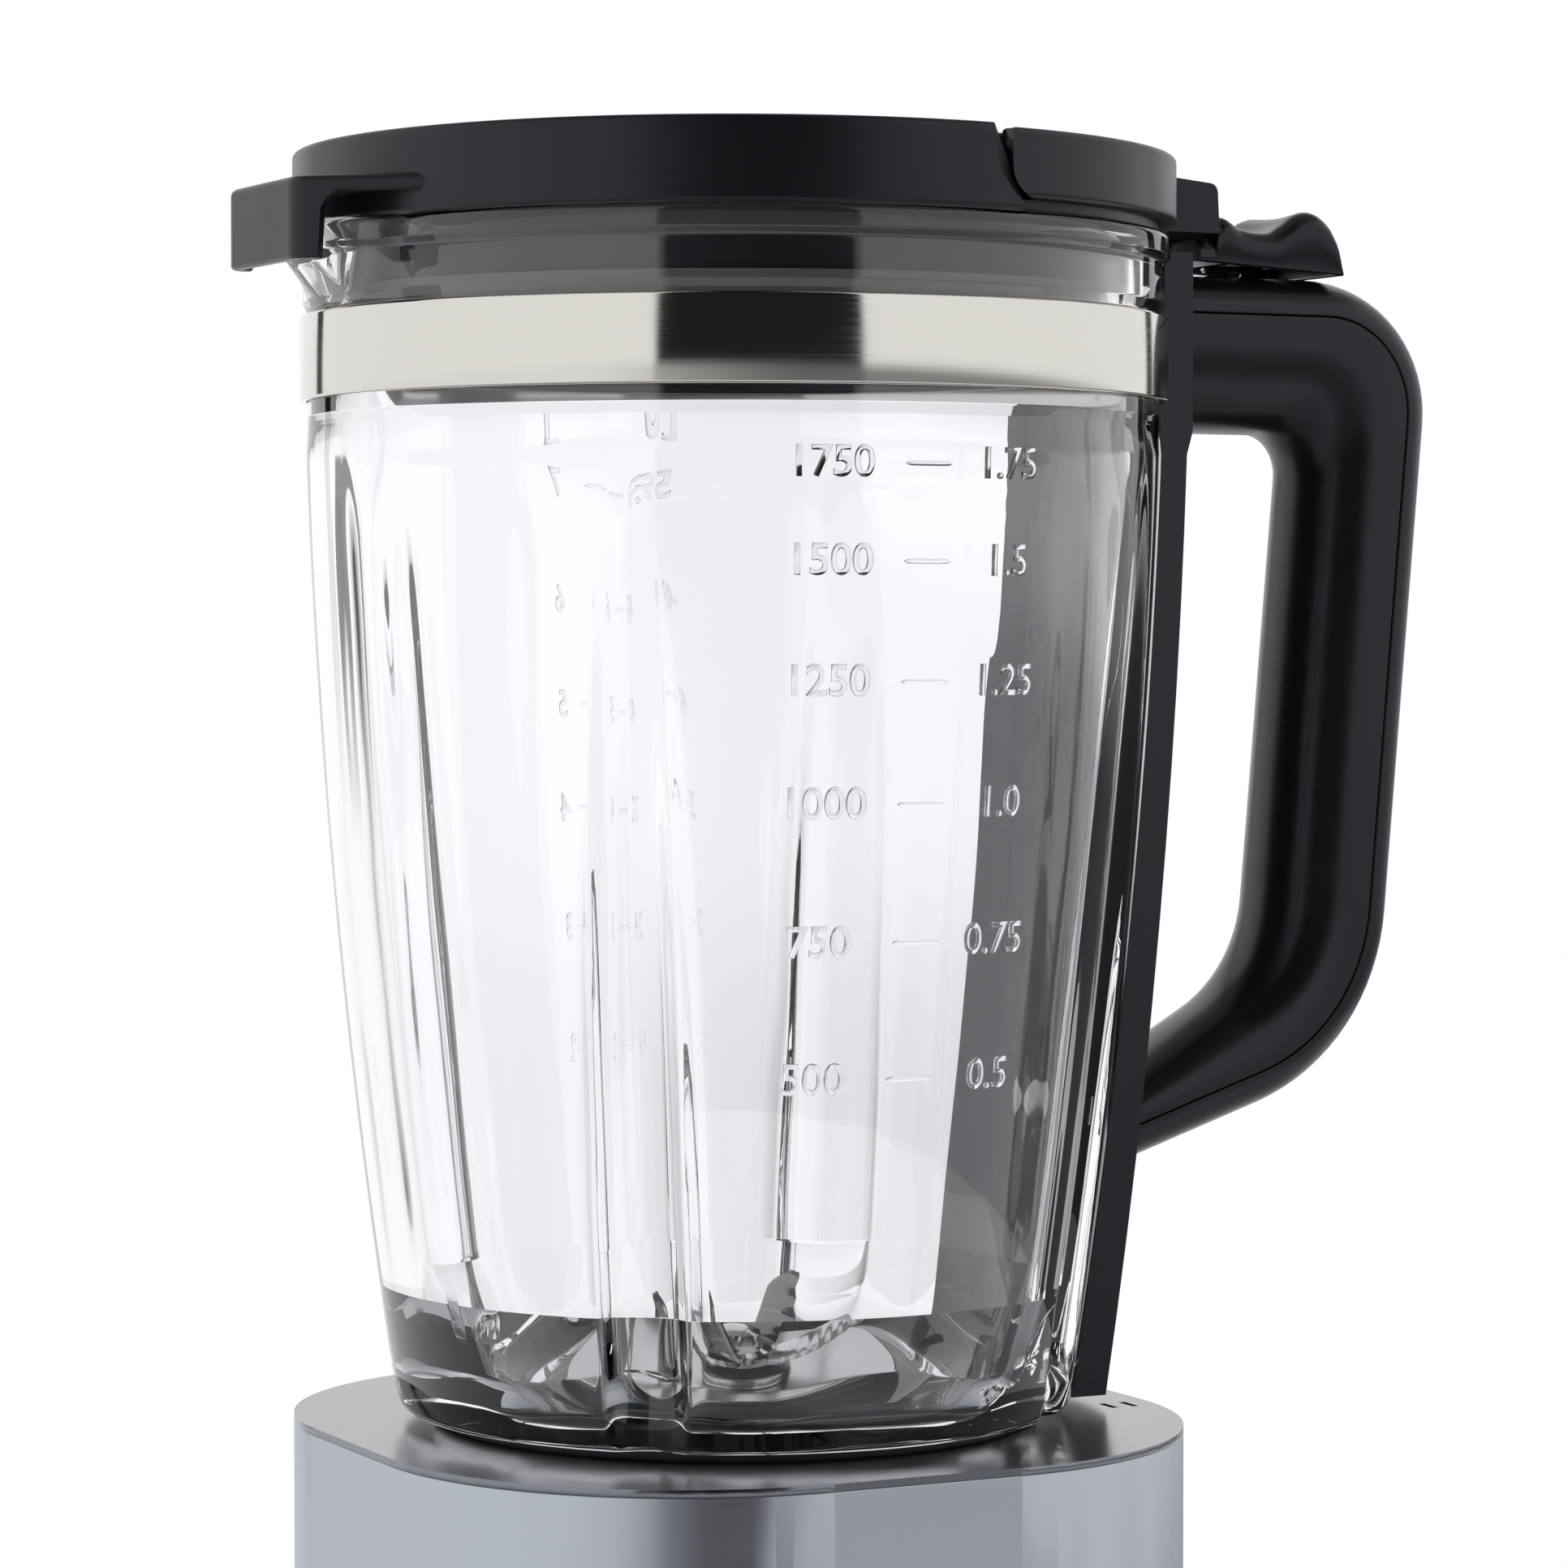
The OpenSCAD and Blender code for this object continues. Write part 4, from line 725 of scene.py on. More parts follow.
def scale_marks(marks, middle, left, right):
    """All numerals and dashes of one scale, the columns at left and right mm from its middle line."""
    parts = []
    for z, first, second in marks:
        r = flank(z)
        parts.append(wrap(letters(first, NUMERAL_H, RELIEF), middle + left / r, z, outer_wall))
        parts.append(wrap(letters(second, NUMERAL_H, RELIEF), middle + right / r, z, outer_wall))
        parts.append(wrap(dash(DASH_LENGTH, DASH_WIDTH, RELIEF), middle, z, outer_wall))
    return parts


scale_parts = scale_marks(USER_MARKS, USER_SIDE, -16.4, 15.0) + scale_marks(FAR_MARKS, FAR_SIDE, -11.5, 11.5)
scale = piece("jar_scale", scale_parts, "jar", "jar_glass", sharp=40)
scale.visible_shadow = False

# %% [markdown]
# ## The steel band
# A band of polished stainless strip is sprung round the neck. Its edges are rolled over a
# little, so they catch a thin line of light.

# %% The band
BAND_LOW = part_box("neck_band")[0].z / MM - BASE_TOP
BAND_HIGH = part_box("neck_band")[1].z / MM - BASE_TOP
BAND_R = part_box("neck_band")[1].x / MM
BAND_WALL = 1.2
band_profile = rounded([[BAND_R - BAND_WALL, BAND_LOW, 0.2], [BAND_R, BAND_LOW, 0.45], [BAND_R, BAND_HIGH, 0.45],
                        [BAND_R - BAND_WALL, BAND_HIGH, 0.2]], 4)
piece("steel_band", [sweep(turn(band_profile, full_turn(240)), ring=True)], "jar", "band_steel", ["neck_band"])

# %% [markdown]
# ## The lid
# The lid is four mouldings that look like one. A turned body closes the glass and holds
# the filler hole. A skirt runs round its front half and more, and ends in a swept edge
# on each side. There a separate rear skirt begins, with rounded corners and the catch tab
# for the lever. A hood reaches out over the spout. The body is a closed outline turned
# round the axis. The skirts are an outline carried round only part of a turn, and each
# height in it has its own end angle, which bends the cut ends.

# %% Outlines and the lid's levels
LID_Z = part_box("lid_catch")[0].z / MM - BASE_TOP
LID_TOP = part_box("lid_body")[1].z / MM - BASE_TOP
LID_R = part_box("lid_body")[1].y / MM
SKIRT_WALL = 3.0
FILLER_R = 23.0
DISC_TOP = LID_TOP - 1.2
DISC_UNDER = DISC_TOP - 3.0
PLUG_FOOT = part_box("lid_body")[0].z / MM - BASE_TOP
PLUG_IN_R, PLUG_OUT_R = 62.9, 65.6
RIM_ROOM_R = 69.4
SLEEVE_R = 25.7
SLEEVE_FOOT = DISC_UNDER - 14


def divided(outline, spacing, closed=True):
    """The same outline with more points on it, so that no side is longer than spacing."""
    path = np.vstack([outline, outline[:1]]) if closed else outline
    run = np.concatenate([[0], np.cumsum(np.linalg.norm(np.diff(path, axis=0), axis=1))])
    at = np.unique(np.round(np.concatenate([run, np.arange(0, run[-1], spacing)]), 4))
    points = np.column_stack([np.interp(at, run, path[:, 0]), np.interp(at, run, path[:, 1])])
    return points[:-1] if closed else points


lid_outline = rounded([
    [SLEEVE_R, SLEEVE_FOOT, 0.6], [SLEEVE_R, DISC_UNDER, 1.5], [PLUG_IN_R, DISC_UNDER, 1.5],
    [PLUG_IN_R, PLUG_FOOT, 0.9], [PLUG_OUT_R, PLUG_FOOT, 0.9], [PLUG_OUT_R, DISC_UNDER, 0.8],
    [RIM_ROOM_R, DISC_UNDER, 0.8], [RIM_ROOM_R, LID_Z, 0.4], [LID_R - SKIRT_WALL, LID_Z, 0.4],
    [LID_R - SKIRT_WALL, DISC_TOP, 1.0], [60, DISC_TOP, 3.0], [56, DISC_TOP - 0.7, 3.0],
    [33, DISC_TOP - 0.7, 2.0], [31, DISC_TOP, 2.0], [27.4, DISC_TOP, 0.5], [27.3, DISC_TOP - 1.6, 0.3],
    [FILLER_R, DISC_TOP - 1.6, 0.3], [FILLER_R, SLEEVE_FOOT, 0.6]], 4)
piece("lid_cover", [sweep(turn(lid_outline, full_turn(192)), ring=True)], "lid", "lid_plastic", ["lid_body"])

# %% The two skirts
REAR_EDGE = 80.1
REAR_CORNER = 5.5


def front_end(h):
    """Angle in degrees where the front skirt ends at height h: it sweeps back by a cubic towards the foot."""
    return 82.7 - 5.0 * (1 - h / (LID_TOP - LID_Z)) ** 3


def rear_end(h, height):
    """Angle in degrees where the rear skirt ends: a straight edge with a big lower and a small upper round corner."""
    low = REAR_CORNER - np.sqrt(REAR_CORNER ** 2 - np.clip(REAR_CORNER - h, 0, REAR_CORNER) ** 2)
    high = 1.3 - np.sqrt(1.69 - np.clip(h - height + 1.3, 0, 1.3) ** 2)
    return REAR_EDGE - np.degrees((low + high) / LID_R)


def skirt(outline, start, end, steps):
    """Sections of an outline turned from start to end, which are angles in radians for each of its points."""
    share = np.linspace(0, 1, steps)[:, None]
    angle = start[None, :] + (end - start)[None, :] * share
    r, z = outline[None, :, 0], outline[None, :, 1] + 0 * angle
    return np.stack([r * np.cos(angle), r * np.sin(angle), z], -1)


front = divided(rounded([[LID_R - SKIRT_WALL + 0.05, LID_Z, 0.3], [LID_R, LID_Z, 0.6], [LID_R, LID_TOP, 0.8],
                         [LID_R - SKIRT_WALL + 0.05, LID_TOP, 0.5]], 4), 1.2)
front_from = np.radians(front_end(front[:, 1] - LID_Z))
piece("lid_skirt", [sweep(skirt(front, front_from, 2 * math.pi - front_from, 150))], "lid", "lid_plastic",
      ["lid_body"], bevel=0.35)
REAR_Z = LID_Z + 1.8
REAR_H = LID_TOP - REAR_Z - 0.5
rear = divided(rounded([[LID_R - SKIRT_WALL + 0.05, REAR_Z, 0.3], [LID_R, REAR_Z, 0.9], [LID_R, REAR_Z + REAR_H, 0.9],
                        [LID_R - SKIRT_WALL + 0.05, REAR_Z + REAR_H, 0.5]], 4), 0.8)
rear_to = np.radians(rear_end(rear[:, 1] - REAR_Z, REAR_H))
TAB_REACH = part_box("lid_catch")[1].x / MM
TAB_HALF = 15.0
TAB_Z = LID_Z + 3.0
tab_side = rounded([[LID_R - 1.5, TAB_Z, 0], [TAB_REACH, TAB_Z, 0.5], [TAB_REACH, TAB_Z + 0.9, 0.2],
                    [TAB_REACH - 0.5, TAB_Z + 1.0, 0.1], [TAB_REACH - 0.9, TAB_Z + 8.6, 1.6],
                    [LID_R - 1.5, TAB_Z + 9.9, 0]], 3)
tab_y = np.array([-1, 1])[:, None] * TAB_HALF
tab = np.stack([np.broadcast_to(tab_side[:, 0], (2, len(tab_side))), tab_y + 0 * tab_side[:, 0],
                np.broadcast_to(tab_side[:, 1], (2, len(tab_side)))], -1)
piece("lid_rear_skirt", [sweep(skirt(rear, -rear_to, rear_to, 120)), sweep(tab)], "lid", "lid_plastic",
      ["lid_catch"], bevel=0.6, segments=3)

# %% [markdown]
# ## The hood over the spout
# The hood is a thin roof with a wall at its tip. Seen from above it leaves the skirt on
# each side and runs to a blunt tip with two round corners. The wall goes on round the
# corners for a few millimetres and is then cut away in an arch, so that the glass spout
# shows. One outline does all of it: roof, rounded edge, wall, underside and back. At each
# step along the plan only the wall's lower edge moves.

# %% The hood
HOOD_REACH = -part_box("lid_body")[0].x / MM
HOOD_TOP = LID_Z + 6.1
HOOD_FOOT = LID_Z - 7.2
HOOD_WALL = 2.4
HOOD_ROUND = 1.3
ARCH_R = 6.0
ARCH_H = 5.6
HOOD_START = math.radians(157)
plan_half = divided(rounded([[LID_R * math.cos(HOOD_START), LID_R * math.sin(HOOD_START), 0], [-HOOD_REACH, 15, 5],
                             [-HOOD_REACH, 0, 0]], 8)[:-8], 0.5, closed=False)
plan = np.vstack([plan_half, (plan_half * (1, -1))[-2::-1]])
along = np.gradient(plan, axis=0)
along /= np.linalg.norm(along, axis=1, keepdims=True)
inward = np.column_stack([-along[:, 1], along[:, 0]])
inward *= np.sign((inward * -plan).sum(1, keepdims=True))
past = np.abs(plan[:, 0] + HOOD_REACH - 3.2) * np.where(plan[:, 0] > -HOOD_REACH + 3.2, 1.5, 0)
bend = np.sqrt(np.maximum(ARCH_R ** 2 - np.clip(ARCH_R - past, 0, ARCH_R) ** 2, 0))
arch = HOOD_TOP - HOOD_WALL - ARCH_H + ARCH_H / ARCH_R * bend
low_edge = np.where(past > 0, np.minimum(arch, HOOD_TOP - HOOD_WALL - 0.3), HOOD_FOOT)
theta = np.linspace(0, math.pi / 2, 6)
depth = np.concatenate([HOOD_ROUND * (1 - np.sin(theta)), [0, 0.4, HOOD_WALL - 0.4, HOOD_WALL, HOOD_WALL]])
steps = len(plan)
height = np.column_stack([
    np.broadcast_to(HOOD_TOP - HOOD_ROUND * (1 - np.cos(theta)), (steps, 6)), low_edge + 0.4, low_edge, low_edge,
    low_edge + 0.4, np.full(steps, HOOD_TOP - HOOD_WALL)])
rim = plan[:, None, :] + inward[:, None, :] * depth[None, :, None]
root = plan / np.linalg.norm(plan, axis=1, keepdims=True) * (LID_R - SKIRT_WALL + 0.6)
hood = np.concatenate([
    np.column_stack([root, np.full(steps, HOOD_TOP)])[:, None],
    np.concatenate([rim, height[:, :, None]], -1),
    np.column_stack([root, np.full(steps, HOOD_TOP - HOOD_WALL)])[:, None]], 1)
piece("lid_hood", [sweep(hood)], "lid", "lid_plastic", ["lid_body"], sharp=42)

# %% [markdown]
# ## The filler cap
# The cap is a cup that drops into the filler hole. Its top has two finger wells with a
# bar left between them, to grip it by. It is a turned outline again. Only the top's height
# depends on the angle as well: it sinks where both the distance from the rim and the
# distance from the bar are large enough.

# %% The cap
CAP_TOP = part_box("filler_cap")[1].z / MM - BASE_TOP
CAP_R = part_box("filler_cap")[1].x / MM
CUP_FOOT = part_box("filler_cap")[0].z / MM - BASE_TOP
CUP_R = 22.6
cap_outline = np.vstack([
    [[0, DISC_TOP - 2.5]],
    rounded([[CUP_R - 2.2, DISC_TOP - 2.5, 1.5], [CUP_R - 2.2, CUP_FOOT, 0.5], [CUP_R, CUP_FOOT, 0.5],
             [CUP_R, DISC_TOP - 1.5, 0.2], [CAP_R, DISC_TOP - 1.5, 0.3], [CAP_R, CAP_TOP, 1.0],
             [20.5, CAP_TOP, 0]], 4),
    np.column_stack([np.linspace(20, 0, 26), np.full(26, CAP_TOP)])])
cap = turn(cap_outline, full_turn(144))
away = np.linalg.norm(cap[..., :2], axis=-1)
well = smooth_step(19.5, 16.0, away) * smooth_step(3.6, 7.0, np.abs(cap[..., 1]))
cap[..., 2] -= np.where(cap[..., 2] > CAP_TOP - 0.01, 2.1 * well, 0)
piece("filler_cap_top", [sweep(cap, ring=True)], "cap", "cap_plastic", ["filler_cap"])

# %% [markdown]
# ## The handle
# The handle is a core with a flat side panel, and an outer cover that wraps round its back
# from one side to the other. A fine seam runs between them. Both follow the same bent
# path: along the top arm, round a corner, down the leaning grip, round the lower corner
# and back to the jar. The path is drawn as three outlines with matching points, at the
# outer contour, at the seam and at the finger side. At each point a section spans the
# space between two of them. The cover's section is half of a rounded box, and the core's
# is flat at the sides and round towards the fingers.

# %% The handle's path
HANDLE_TOP = 197.6
HANDLE_REACH = 137.9
HANDLE_FOOT = 57.4
HANDLE_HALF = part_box("handle_grip")[1].y / MM
LEAN = 12.5 / (HANDLE_TOP - HANDLE_FOOT)
LOWER_SLOPE = 0.33
UPPER_R, LOWER_R = 24, 40
COVER_DEPTH = 7.0
SEAM_GAP = 0.3
GRIP_WIDTH = 23.8
ARM_FOOT = HANDLE_TOP - 28.0
CROOK = 73.5
ARM_START = 79.5
FOOT_START = 69.0


def grip_x(z, inset):
    """The grip's outer line at height z, moved inwards by inset: it leans in towards the foot."""
    return HANDLE_REACH - (HANDLE_TOP - z) * LEAN - inset


def contour(inset):
    """The handle's outline moved inwards by inset, from the spine along the top, down the grip and back."""
    upper_r, lower_r = UPPER_R - inset, LOWER_R - inset
    rise = inset / math.cos(math.atan(LOWER_SLOPE))
    corner = grip_x(HANDLE_FOOT + inset, inset)
    foot = HANDLE_FOOT + (corner - grip_x(HANDLE_FOOT, 0)) * LOWER_SLOPE + rise
    start = HANDLE_FOOT + (FOOT_START - grip_x(HANDLE_FOOT, 0)) * LOWER_SLOPE + rise
    top = HANDLE_TOP - inset
    return [[ARM_START, top, 0], [grip_x(top, inset), top, upper_r], [corner, foot, lower_r], [FOOT_START, start, 0]]


def handle_path(corners):
    """The outline's points: the two corners as arcs of 17 points and the straights in matching steps."""
    arcs = rounded(corners, 16).reshape(4, 17, 2)
    stops = [arcs[0][:1], arcs[1], arcs[2], arcs[3][:1]]
    share = np.linspace(0, 1, 10)[1:-1, None]
    fills = [a[-1:] + (b[:1] - a[-1:]) * share for a, b in zip(stops, stops[1:])]
    return np.vstack([stops[0], fills[0], stops[1], fills[1], stops[2], fills[2], stops[3]])


def handle_sections(near, far, loop):
    """A loop of (share, y) carried between two matching outlines: share 0 is on near and 1 on far."""
    share, y = loop[None, :, 0, None], loop[None, :, 1]
    at = near[:, None, :] + (far - near)[:, None, :] * share
    return np.stack([at[..., 0], y + 0 * at[..., 0], at[..., 1]], -1)


# %% The cover and the core
outer_path, seam_path, core_path = (handle_path(contour(inset)) for inset in (0, COVER_DEPTH, COVER_DEPTH + SEAM_GAP))
arm_x, foot_x = grip_x(ARM_FOOT, GRIP_WIDTH), grip_x(CROOK, GRIP_WIDTH)
finger_path = handle_path([[ARM_START, ARM_FOOT, 0], [arm_x, ARM_FOOT, 8], [foot_x, CROOK, 25],
                           [FOOT_START, CROOK - (foot_x - FOOT_START) * 0.6, 0]])
bow = np.linspace(0, math.pi, 25)
cover_y = HANDLE_HALF * np.sign(np.cos(bow)) * np.abs(np.cos(bow)) ** 0.8
cover_loop = np.column_stack([np.abs(np.sin(bow)) ** 0.9, cover_y])
cover_loop = np.vstack([cover_loop, [[-0.02, -HANDLE_HALF + 0.6], [-0.02, HANDLE_HALF - 0.6]]])
piece("handle_outer_cover", [sweep(handle_sections(seam_path, outer_path, cover_loop))], "jar", "handle_plastic",
      ["handle_cover"], bevel=0.25, sharp=50)
quarter = np.linspace(0, math.pi / 2, 9)
round_off = np.linspace(0, 0.98 * math.pi / 2, 15)
reach = 1 - 0.76 * (1 - np.sin(round_off) / np.sin(round_off[-1]))
side_y = HANDLE_HALF * np.cos(round_off) ** 0.85
core_loop = np.vstack([[[0, -HANDLE_HALF]], np.column_stack([reach, -side_y]),
                       np.column_stack([reach, side_y])[::-1], [[0, HANDLE_HALF]]])
piece("handle_core", [sweep(handle_sections(core_path, finger_path, core_loop))], "jar", "handle_soft",
      ["handle_grip"], bevel=0.25, sharp=50)
soften("handle_spine", 0.6)

# %% [markdown]
# ## The thumb lever
# The lever is a small cap with a dished saddle for the thumb and a hump behind it. From the
# side its top is one smooth curve through a few heights, so those heights are joined by
# an interpolating curve. Across its width the top is rounded off at both sides and a little
# hollow in the middle. It is open below, where its spring and its pin sit.

# %% The lever
LEVER_LOW, LEVER_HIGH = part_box("thumb_lever")
LEVER_HALF = LEVER_HIGH.y / MM
NOSE_X = LEVER_LOW.x / MM
LEVER_BACK = LEVER_HIGH.x / MM
LEVER_CREST = LEVER_HIGH.z / MM - BASE_TOP
LEVER_FLOOR = LEVER_LOW.z / MM - BASE_TOP + 1.6
crest_x = np.array([NOSE_X, 88.6, 88.9, 90.5, 94.5, 98.5, 101.5, 104.0, 106.5, 109.0, 111.5, 113.5, 114.8,
                    LEVER_BACK])
crest_z = LEVER_CREST - np.array([5.7, 5.6, 3.2, 1.8, 3.3, 4.0, 3.8, 2.4, 0.7, 0.05, 0.9, 3.0, 6.0, 8.6])


def smooth_curve(x, knots_x, knots_y):
    """A cubic through all knots whose slope at each one is that of its neighbours (a Hermite curve)."""
    slope = np.gradient(knots_y, knots_x)
    i = np.clip(np.searchsorted(knots_x, x) - 1, 0, len(knots_x) - 2)
    span = knots_x[i + 1] - knots_x[i]
    t = (x - knots_x[i]) / span
    return ((2 * t ** 3 - 3 * t ** 2 + 1) * knots_y[i] + (t ** 3 - 2 * t ** 2 + t) * span * slope[i]
            + (3 * t ** 2 - 2 * t ** 3) * knots_y[i + 1] + (t ** 3 - t ** 2) * span * slope[i + 1])


lever_x = np.unique(np.concatenate([np.linspace(NOSE_X, LEVER_BACK, 80), [88.6, 88.75, 88.9]]))
top_z = np.where(lever_x < 90.5, np.interp(lever_x, crest_x, crest_z), smooth_curve(lever_x, crest_x, crest_z))
floor_z = LEVER_FLOOR - 1.6 * np.clip((lever_x - NOSE_X) / (LEVER_BACK - NOSE_X), 0, 1)
LEVER_ROUND = 3.2
across = np.concatenate([-LEVER_HALF + LEVER_ROUND * (1 - np.cos(quarter)), np.linspace(-8, 8, 9),
                         LEVER_HALF - LEVER_ROUND * (1 - np.cos(quarter[::-1]))])
drop = np.concatenate([LEVER_ROUND * (1 - np.sin(quarter)), 0.5 * np.cos(np.linspace(-8, 8, 9) * math.pi / 16),
                       LEVER_ROUND * (1 - np.sin(quarter[::-1]))])
skin_h = np.maximum((top_z - floor_z)[:, None], 0.3)
outer = floor_z[:, None] + np.maximum(skin_h - drop[None, :] * np.minimum(1, skin_h / 3), 0.05)
hollow = np.where((lever_x > 91.5) & (lever_x < LEVER_BACK - 1.6), np.maximum(top_z - floor_z - 2.6, 0.02), 0.02)
inner_y = np.array([LEVER_HALF - 2.0, LEVER_HALF - 2.3, -LEVER_HALF + 2.3, -LEVER_HALF + 2.0])
inner_h = hollow[:, None] * np.array([0, 1, 1, 0])
ones = np.ones_like(lever_x)[:, None]
lever = np.concatenate([
    np.stack([lever_x[:, None] * np.ones(2), ones * [-LEVER_HALF + 0.3, -LEVER_HALF],
              floor_z[:, None] + [0, 0.3]], -1),
    np.stack([lever_x[:, None] + 0 * outer, ones * across, outer], -1),
    np.stack([lever_x[:, None] * np.ones(2), ones * [LEVER_HALF, LEVER_HALF - 0.3],
              floor_z[:, None] + [0.3, 0]], -1),
    np.stack([lever_x[:, None] * np.ones(4), ones * inner_y, floor_z[:, None] + inner_h], -1)], 1)
piece("lever_cap", [sweep(lever)], "lever", "lever_plastic", ["thumb_lever"], bevel=0.2, sharp=55)

# %% [markdown]
# ## The blades
# Two stamped blades cross on one shaft. Each is a strip from tip to tip that stays flat
# under the nut, bends up and tapers to a blunt point. One edge of each arm is ground thin
# and cut with small teeth, and the two arms are alike when turned by half a turn. So the
# strip is one sweep along its length, with a six-cornered section. The width, the
# ground edge and the teeth depend on the place along the strip.

# %% A serrated blade
TOOTH = 2.2
TOOTH_DEPTH = 0.55
BLADE_T = 1.4


def arm_edges(run, reach, hub, width):
    """The cutting and the back edge of an arm, as widths at the distance run from the axis."""
    hub_half = np.sqrt(np.maximum(hub ** 2 - run ** 2, 0))
    share = run / reach
    body = width / 2
    cutting = body - (body - 0.8) * smooth_step(0.5, 1.0, share) ** 0.8
    back = body - (body - 0.8) * np.clip((share - 0.88) / 0.12, 0, 1) ** 2.2
    teeth = TOOTH_DEPTH * np.abs((run / TOOTH) % 1 - 0.5) * 2 * smooth_step(hub, hub + 1.5, run)
    return np.maximum(cutting - teeth, hub_half), np.maximum(back, hub_half)


def blade(foot, reach, rise, width, hub, root, heading):
    """Sections of a blade whose arms leave a flat hub of radius root and rise by rise, turned to heading."""
    s = np.linspace(-reach, reach, 240)
    run = np.abs(s)
    cutting, back = arm_edges(run, reach, hub, width)
    low = -np.where(s > 0, cutting, back)
    high = np.where(s > 0, back, cutting)
    mix = smooth_step(-root, root, s)
    ground_low, ground_high = 0.25 + 2.0 * mix, 0.25 + 2.0 * (1 - mix)
    lean = np.clip(run - root, 0, None)
    bend = np.sqrt(lean ** 2 + 4.0) - 2.0
    z = foot + BLADE_T / 2 + rise * bend / (math.sqrt((reach - root) ** 2 + 4.0) - 2.0)
    slope = np.gradient(z, s)
    tilt = 1 / np.sqrt(1 + slope ** 2)
    half = BLADE_T / 2
    y = np.column_stack([low, low + ground_low, high - ground_high, high, high - ground_high, low + ground_low])
    off = np.array([0, half, half, 0, -half, -half])[None, :]
    along = s[:, None] - off * (slope * tilt)[:, None]
    up = z[:, None] + off * tilt[:, None]
    cos_h, sin_h = math.cos(heading), math.sin(heading)
    return np.stack([along * cos_h - y * sin_h, along * sin_h + y * cos_h, up], -1)


HUB_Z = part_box("lower_blade")[0].z / MM - BASE_TOP
piece("serrated_lower_blade", [sweep(blade(HUB_Z, 29.5, 5.4, 11, 8.4, 7.6, math.radians(-32)))], "blades",
      "blade_steel", ["lower_blade"], sharp=20)
piece("serrated_upper_blade", [sweep(blade(HUB_Z + BLADE_T, 19.3, 17.6, 10, 7.0, 5.8, math.radians(28)))], "blades",
      "blade_steel", ["upper_blade"], sharp=20)

# %% The domed hexagon nut
NUT_LOW, NUT_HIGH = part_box("blade_nut")
NUT_Z, NUT_TOP, NUT_R = NUT_LOW.z / MM - BASE_TOP, NUT_HIGH.z / MM - BASE_TOP, NUT_HIGH.x / MM


def hexagon(angle, corner):
    """Radius of a hexagon with that corner radius: its flats are at corner * cos 30, straight in each sixth."""
    return corner * math.cos(math.pi / 6) / np.cos((angle % (math.pi / 3)) - math.pi / 6)


nut_turn = full_turn(96)[:, None]
nut_rows = np.array([[0, 0], [0.93, 0], [1, 0.25], [1, 2.0], [0.9, 2.3], [0.78, 2.5], [0.6, 2.85], [0.35, 3.1],
                     [0.0, NUT_TOP - NUT_Z]])
nut_r = np.minimum(hexagon(nut_turn, NUT_R), nut_rows[None, :, 0] * NUT_R)
nut_r[:, 5:] = nut_rows[None, 5:, 0] * NUT_R
nut = np.stack([nut_r * np.cos(nut_turn), nut_r * np.sin(nut_turn), NUT_Z + nut_rows[None, :, 1] + 0 * nut_turn], -1)
piece("domed_blade_nut", [sweep(nut, ring=True)], "blades", "blade_steel", ["blade_nut"], sharp=25)

# %% [markdown]
# ## The base and its controls
# The base is a drawn metal shell under a flat lacquered top, with a control panel let into
# its front. These pieces are simple plates and rings whose engineering shape is right, so
# they only get their edges rounded by a bevel. A bevel matters even when it is only half
# a millimetre: it is the thin bright line that makes an edge look real.

# %% Rounded edges on the plates and rings
for node, width in (("base_top", 0.55), ("base_housing", 0.3), ("base_plate", 0.5), ("foot_ring", 0.8),
                    ("seat_pad", 0.5), ("control_panel", 0.9), ("dial_ring", 0.7), ("cord_inlet", 0.8),
                    ("button_left", 0.5), ("button_middle", 0.5), ("button_right", 0.5), ("well_seal", 0.3),
                    ("drive_coupling", 0.6), ("driven_coupling", 0.5), ("bearing_housing", 0.4),
                    ("clamp_nut", 0.5)):
    soften(node, width)

# %% [markdown]
# ## The dial
# The dial is a turned knob with twelve shallow finger grooves. Its radius is a circle less
# a narrow cosine bump, repeated twelve times, which fades out towards the face. A white
# pointer lies on it. Its zero lies up and to the left, and the speeds run clockwise.

# %% The knob and its pointer
DIAL_LOW, DIAL_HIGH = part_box("control_dial")
DIAL_X = (DIAL_LOW.x + DIAL_HIGH.x) / 2 / MM
DIAL_Z = (DIAL_LOW.z + DIAL_HIGH.z) / 2 / MM
DIAL_R = (DIAL_HIGH.x - DIAL_LOW.x) / 2 / MM
DIAL_FRONT = -DIAL_LOW.y / MM
PANEL_FRONT = -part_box("control_panel")[0].y / MM
REST_ANGLE = -50.0
FACE_SINK = 0.8
GROOVES = 12


def facing_user(sections):
    """Turns a shape made round the Z axis so that its axis points at the user, from the dial's middle:
    (x, y, z) becomes (x, -z, y)."""
    x, y, z = np.moveaxis(sections, -1, 0)
    return np.stack([x + DIAL_X, -z, y + DIAL_Z], -1)


knob_rows = np.vstack([[[0, PANEL_FRONT + 0.6]], rounded([
    [DIAL_R - 1.5, PANEL_FRONT + 0.6, 0.4], [DIAL_R, PANEL_FRONT + 2.6, 0.6], [DIAL_R - 0.6, DIAL_FRONT, 1.6],
    [DIAL_R - 3.2, DIAL_FRONT, 0.4], [DIAL_R - 4.0, DIAL_FRONT - FACE_SINK, 0.4], [2.0, DIAL_FRONT - FACE_SINK, 0]], 4),
    [[0, DIAL_FRONT - FACE_SINK]]])
knob_turn = full_turn(240)
knob = turn(divided(knob_rows, 2.0, closed=False), knob_turn)
grip = 0.9 * (0.5 + 0.5 * np.cos(GROOVES * knob_turn[:, None])) ** 3
side_share = smooth_step(DIAL_R - 3.0, DIAL_R - 0.8, np.linalg.norm(knob[..., :2], axis=-1))
deep = smooth_step(PANEL_FRONT + 4.0, PANEL_FRONT + 6.0, knob[..., 2])
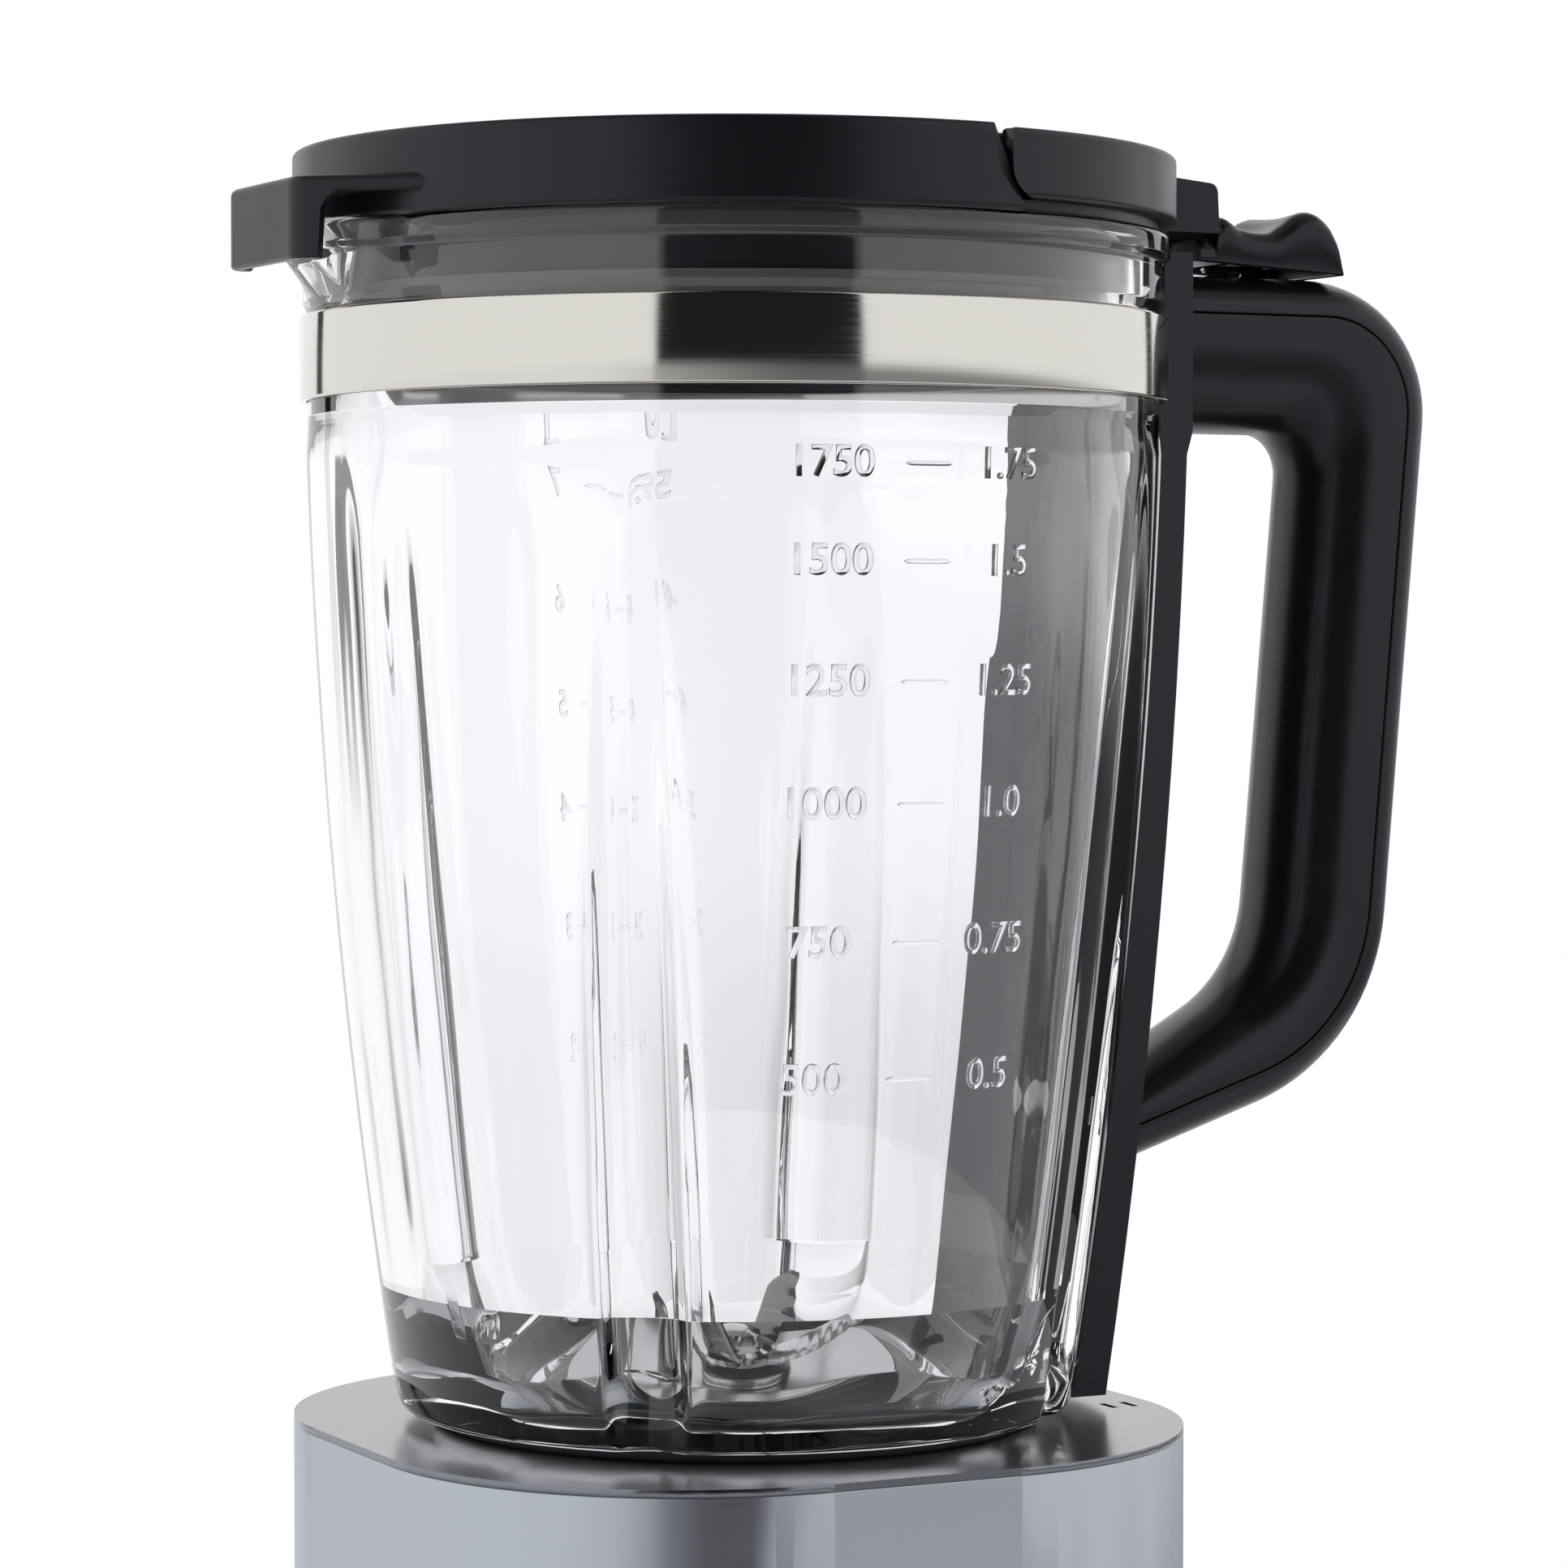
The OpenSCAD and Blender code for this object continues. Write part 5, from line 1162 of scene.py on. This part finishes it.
knob[..., :2] *= (1 - grip * side_share * deep / DIAL_R)[..., None]
piece("dial_knob", [sweep(facing_user(knob), ring=True)], "dial", "dial_plastic", ["control_dial"], lift=0)


def printed_ink():
    """White pad-printed ink: matt, a little uneven where the print is thin."""
    made, tree, shader = start_material("white_pad_print", "#dfe0e0", Roughness=0.5)
    place = add(tree, "ShaderNodeTexCoord").outputs["Object"]
    thin = add(tree, "ShaderNodeTexNoise", {"Vector": place, "Scale": per_mm(0.5), "Detail": 2.0})
    ink = add(tree, "ShaderNodeMix", {"Factor": thin.outputs["Fac"], 6: linear("#cfd0d0"), 7: linear("#ecedee")},
              data_type="RGBA")
    tree.links.new(ink.outputs[2], shader.inputs["Base Color"])
    return made


INK = printed_ink()


def stand_up(part, x, z, front, angle=0.0):
    """Places flat points on a front face: they turn clockwise by angle degrees and face the user."""
    a = math.radians(angle)
    u, v, out = part[0].T
    return np.column_stack([x + u * math.cos(a) + v * math.sin(a), -front - out,
                            z - u * math.sin(a) + v * math.cos(a)]), part[1]


def printed(name, parts, body, slot):
    """A thin raised print with the white ink on it."""
    made = piece(name, parts, body, slot, lift=0)
    made.data.materials[0] = INK
    return made


def on_dial(radius, angle):
    """The place (x, z) at that radius from the dial's middle, angle degrees clockwise from its top."""
    a = math.radians(angle)
    return DIAL_X + radius * math.sin(a), DIAL_Z + radius * math.cos(a)


POINTER_R = 9.0
pointer = stand_up(dash(8.0, 1.6, 0.6), *on_dial(POINTER_R, REST_ANGLE), DIAL_FRONT - FACE_SINK, REST_ANGLE + 90)
printed("dial_pointer", [pointer], "dial", "dial_plastic")

# %% Numerals on the panel and the buttons
NUMERAL_R = 25.0
SPEED_STEP = 28.0
PULSE_ANGLE = REST_ANGLE - 40
PRINT_T = 0.16
speeds = [stand_up(letters(str(number), 3.2, PRINT_T), *on_dial(NUMERAL_R, REST_ANGLE + number * SPEED_STEP),
                   PANEL_FRONT) for number in range(6)]
speeds.append(stand_up(dash(1.6, 1.6, 0.2), *on_dial(NUMERAL_R, PULSE_ANGLE), PANEL_FRONT))
printed("panel_numerals", speeds, "base", "panel_plastic")
for number, (node, body) in enumerate((("button_left", "left_button"), ("button_middle", "middle_button"),
                                       ("button_right", "right_button")), 1):
    b_low, b_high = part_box(node)
    label = stand_up(letters(str(number), 3.4, PRINT_T), (b_low.x + b_high.x) / 2 / MM, (b_low.z + b_high.z) / 2 / MM,
                     -b_low.y / MM)
    printed(f"numeral_{node}", [label], body, "button_plastic")
